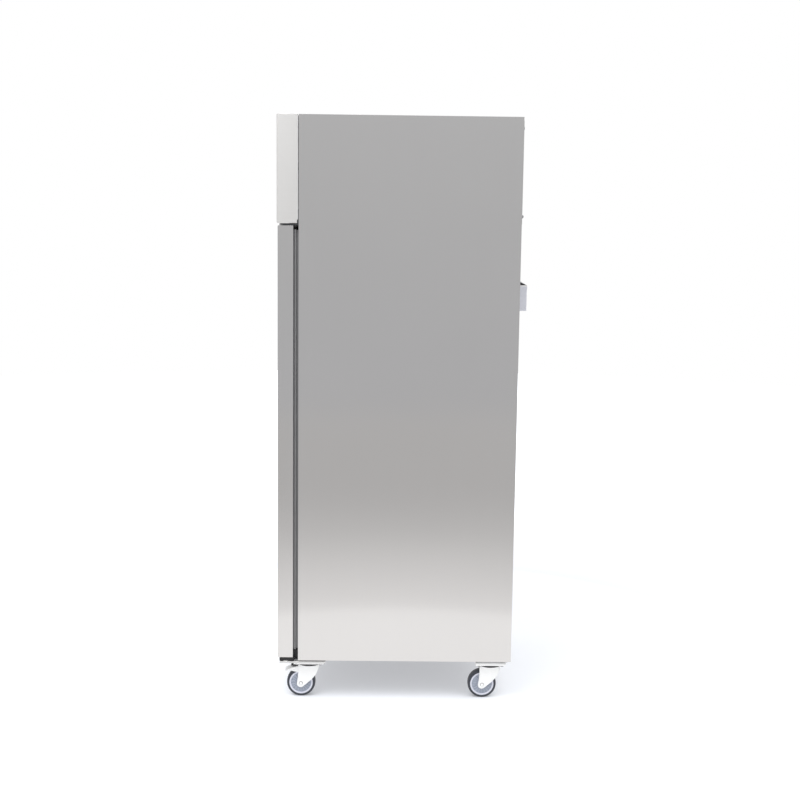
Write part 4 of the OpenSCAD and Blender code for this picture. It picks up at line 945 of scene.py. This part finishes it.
# %% [markdown]
# ## Pipes
# Copper tube runs from the compressor over the condenser and the drier to the evaporator and back.
# The routes are the CAD's own points in metres, with real bends. The suction line wears a black
# foam sleeve, which keeps it from sweating.

# %% Refrigerant pipes
pipe_body = body_of["refrigerant_pipes"]
bent_tube("refrigerant_lines", [
    [(0.1, -0.003, 1.76), (0.1, -0.015, 1.76), (0.318, -0.015, 1.76), (0.318, -0.015, 1.935),
     (0.318, -0.223, 1.935), (0.298, -0.223, 1.935)],
    [(0.298, -0.223, 1.705), (0.318, -0.223, 1.705), (0.318, -0.156, 1.705)],
    [(0.318, -0.044, 1.705), (0.318, 0.31, 1.705), (0.1, 0.31, 1.705), (0.1, 0.31, 1.548),
     (-0.25, 0.31, 1.548), (-0.25, 0.245, 1.548), (-0.2215, 0.245, 1.548)]],
    0.004, 0.0115, copper_tube, pipe_body, "copper", "refrigerant_pipes")
bent_tube("suction_line", [
    [(0.2215, 0.245, 1.568), (0.25, 0.245, 1.568), (0.25, 0.29, 1.568), (0.14, 0.29, 1.568),
     (0.14, 0.29, 1.76), (0.14, 0.22, 1.76)]], 0.006, 0.016, copper_tube, pipe_body, "copper")
bent_tube("suction_sleeve", [[(0.14, 0.29, 1.657), (0.14, 0.29, 1.76), (0.14, 0.234, 1.76)]],
          0.0115, 0.024, cable_rubber, pipe_body, "cable_rubber")
drier = bmesh.new()
lathe(drier, (0.318, -0.1, 1.705), (0, 1, 0), both_faces([
    (0.0, -0.06), (0.0045, -0.06), (0.0055, -0.052), (0.0115, -0.044), (0.012, -0.042)]),
    closed=False)
add_shape("filter_drier", drier, copper_tube, pipe_body, "copper")
print("pipes ready")

# %% [markdown]
# ## Cables and the drain
# The cables of the fan motor and the compressor, the mains lead up to its gland and the drain hose
# are tubes too, each on its own short route.

# %% Cables and drain hose
wiring = home["wiring"]
bent_tube("wiring_cables", [
    [(-0.14, -0.28, 1.73), (-0.105, -0.28, 1.73), (-0.105, -0.04, 1.73), (0.12, -0.04, 1.73),
     (0.12, -0.04, 1.82), (0.12, -0.065, 1.82)],
    [(-0.14, -0.27, 1.79), (-0.12, -0.27, 1.79), (-0.12, 0.117, 1.79), (0.013, 0.117, 1.79)]],
    0.0046, 0.012, cable_rubber, *wiring, "wiring")
bent_tube("mains_lead_inside", [[(-0.25, -0.24, 1.72), (-0.25, 0.378, 1.72)]], 0.005, 0.01, cable_rubber,
          *wiring)
bent_tube("drain_hose", [[(0, 0.285, 1.496), (0, 0.408, 1.496), (0, 0.408, 1.434)]], 0.01, 0.017,
          white_plastic, *home["drain_tube"], "drain_tube")
print("cables ready")

# %% [markdown]
# ## Display
# The display shows -18 in seven-segment bars in front of a dark window. One table gives every bar
# its place, and the other says which bars a sign uses.

# %% Display
red_light = Finish("red_light", Base_Color=(0.25, 0.01, 0.008), Emission_Color=(1.0, 0.06, 0.03),
                   Emission_Strength=1.2)
red_light.set(Roughness=0.3 + red_light.noise((900, 900, 900)) * 0.2)
display_glass = moulded("display_glass", (0.012, 0.009, 0.01), 0.12, coat=0.5)
front_y, control_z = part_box("controller")[0][1], 1.854
bars = {"top": (0, 1, 1), "upper_left": (-1, 0.5, 0), "upper_right": (1, 0.5, 0), "middle": (0, 0, 1),
        "lower_left": (-1, -0.5, 0), "lower_right": (1, -0.5, 0), "bottom": (0, -1, 1)}
bars_of_sign = {"-": ["middle"], "1": ["upper_right", "lower_right"], "8": list(bars)}
wide, high, thick = 0.0022, 0.0052, 0.0007
window, figures = bmesh.new(), bmesh.new()
block(window, (-0.213, front_y + 0.00065, control_z - 0.011),
      (-0.185, front_y + 0.0012, control_z + 0.011))
add_shape("display_window", window, display_glass, "cover", "black_plastic")
for x, sign in zip((-0.2072, -0.1998, -0.1915), "-18"):
    for bar in bars_of_sign[sign]:
        side, rise, flat = bars[bar]
        long, tall = (wide - thick, thick) if flat else (thick, high / 2 - thick)
        spot = Vector((x + side * wide, front_y + 0.0004, control_z + rise * high))
        block(figures, spot - Vector((long, 0, tall)), spot + Vector((long, 0.0004, tall)))
add_shape("display_number", figures, red_light, "cover", "black_plastic")
print("display ready")

# %% [markdown]
# ## Button marks and switch signs
# The buttons carry an arrow up, an arrow down and a ring. An arrow is a flat cone with three sides,
# and a ring is spun. The rocker's bar and ring are built lying flat and turned with its tilt.

# %% Marks and signs
mark_paint = moulded("mark_paint", (0.85, 0.86, 0.88), 0.45)
half_mark = 0.00015


def button_mark(node, points, turn):
    centre = middle_of(node)
    centre.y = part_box(node)[0][1] + mark_depth * 0.6
    shape = bmesh.new()
    if points:
        upright = Matrix.Translation(centre) @ Matrix.Rotation(math.radians(90), 4, "X")
        bmesh.ops.create_cone(shape, cap_ends=True, segments=points, radius1=0.0021, radius2=0.0021,
                              depth=2 * half_mark, matrix=upright @ Matrix.Rotation(turn, 4, "Z"))
    else:
        lathe(shape, centre, (0, -1, 0), [
            (0.0012, -half_mark), (0.0019, -half_mark), (0.0019, half_mark), (0.0012, half_mark)])
    add_shape(node + "_mark", shape, mark_paint, *home[node])


button_mark("button_up", 3, 0.0)
button_mark("button_down", 3, math.pi)
button_mark("button_set", 0, 0.0)

rocker = middle_of("rocker_switch")
signs = bmesh.new()
block(signs, (-0.0004, -0.00615, 0.0035), (0.0004, -0.0058, 0.0075))
lathe(signs, (0, -0.006, -0.0055), (0, 1, 0), [
    (0.0014, -half_mark), (0.0021, -half_mark), (0.0021, 0.0002), (0.0014, 0.0002)])
pivot = Matrix.Translation((rocker.x, front_y + 0.008, rocker.z))
bmesh.ops.transform(signs, verts=signs.verts, matrix=pivot @ Matrix.Rotation(math.radians(6), 4, "X"))
add_shape("rocker_signs", signs, mark_paint, "rocker", slot_of["rocker_switch"])
print("controls ready")

# %% [markdown]
# ## Louvres
# Behind each slot of the front cover a blade slopes down, so that fingers and drips stay out, and
# the rear cover's slots have pressed hoods with small cheeks. Each is a thin block, tilted about its
# own length. A black strip closes the seam below the rear cover from inside.

# %% Louvres and hoods
blades, hoods, seam = bmesh.new(), bmesh.new(), bmesh.new()
for row in range(7):
    z = 1.690 + 0.020 * row
    made = block(blades, (0.037, -0.0004, -0.0088), (0.293, 0.0004, 0.0046))
    slope = Matrix.Translation((0, -0.4188, z + 0.0045)) @ Matrix.Rotation(math.radians(40), 4, "X")
    bmesh.ops.transform(blades, verts=made, matrix=slope)
add_shape("cover_louvres", blades, plain_steel, "cover", slot_of["front_cover"], bevel=0.0003)

hood_half, cheek_sheet = 0.092, 0.0008
for side in (-0.15, 0.15):
    for row in range(7):
        z = 1.785 + 0.024 * row
        made = block(hoods, (side - hood_half, 0, -0.0068), (side + hood_half, 0.0009, 0.0062))
        place = Matrix.Translation((0, rear_sheet + 0.0032, z + 0.0062))
        bmesh.ops.transform(hoods, verts=made, matrix=place @ Matrix.Rotation(math.radians(27), 4, "X"))
        for cheek in (side - hood_half, side + hood_half - cheek_sheet):
            block(hoods, (cheek, rear_sheet - 0.0002, z + 0.0015),
                  (cheek + cheek_sheet, rear_sheet + 0.0045, z + 0.0105))
# Painted shade: the hoods' steel is given a darker tone in place of the shade they sit in.
hood_steel_painted_shade = plated("hood_steel_painted_shade", (0.40, 0.40, 0.405), 0.5, metallic=0.85)
rear_body, rear_slot = home["rear_cover"]
add_shape("rear_louvre_hoods", hoods, hood_steel_painted_shade, rear_body, rear_slot, bevel=0.0003)
seam_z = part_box("rear_cover")[0][2]
block(seam, (-0.362, 0.3866, seam_z - 0.012), (0.362, 0.3884, seam_z + 0.008))
add_shape("rear_seam_seal", seam, black_plastic, rear_body, "black_plastic", bevel=0.0003)
print("louvres ready")

# %% [markdown]
# ## Screws of the rear cover
# A head is a spun dome on its thin disc, and its cross recess is two dark bars laid on the dome as
# painted shade. The lower two stand proud, as the photo shows, and the upper two are nearly flat.

# %% Screw heads
heads, recess_shade_bars, screw_x = bmesh.new(), bmesh.new(), 0.36
for x in (-screw_x, screw_x):
    for z, rise in ((1.684, 1.0), (1.973, 0.35)):
        lathe(heads, (x, rear_sheet, z), (0, 1, 0), [
            (0.0, -0.0002), (0.0055, -0.0002), (0.0056, 0.0012 * rise), (0.0048, 0.0032 * rise),
            (0.003, 0.0043 * rise), (0.0, 0.0046 * rise)], closed=False)
        # Painted shade: two dark bars on the dome stand for the shaded hollow of the cross recess.
        for turn in (0.4, 0.4 + math.pi / 2):
            bar = block(recess_shade_bars, (x - 0.0029, rear_sheet + 0.0034 * rise, z - 0.0005),
                        (x + 0.0029, rear_sheet + 0.00466 * rise, z + 0.0005))
            bmesh.ops.rotate(recess_shade_bars, verts=bar, cent=(x, rear_sheet, z),
                             matrix=Matrix.Rotation(turn, 3, "Y"))
add_shape("screw_heads", heads, screw_steel, body_of["fasteners"], "zinc_plated")
add_shape("screw_recess_shade", recess_shade_bars, dark_paint_and_shade, body_of["fasteners"], "zinc_plated")
print("screws ready")
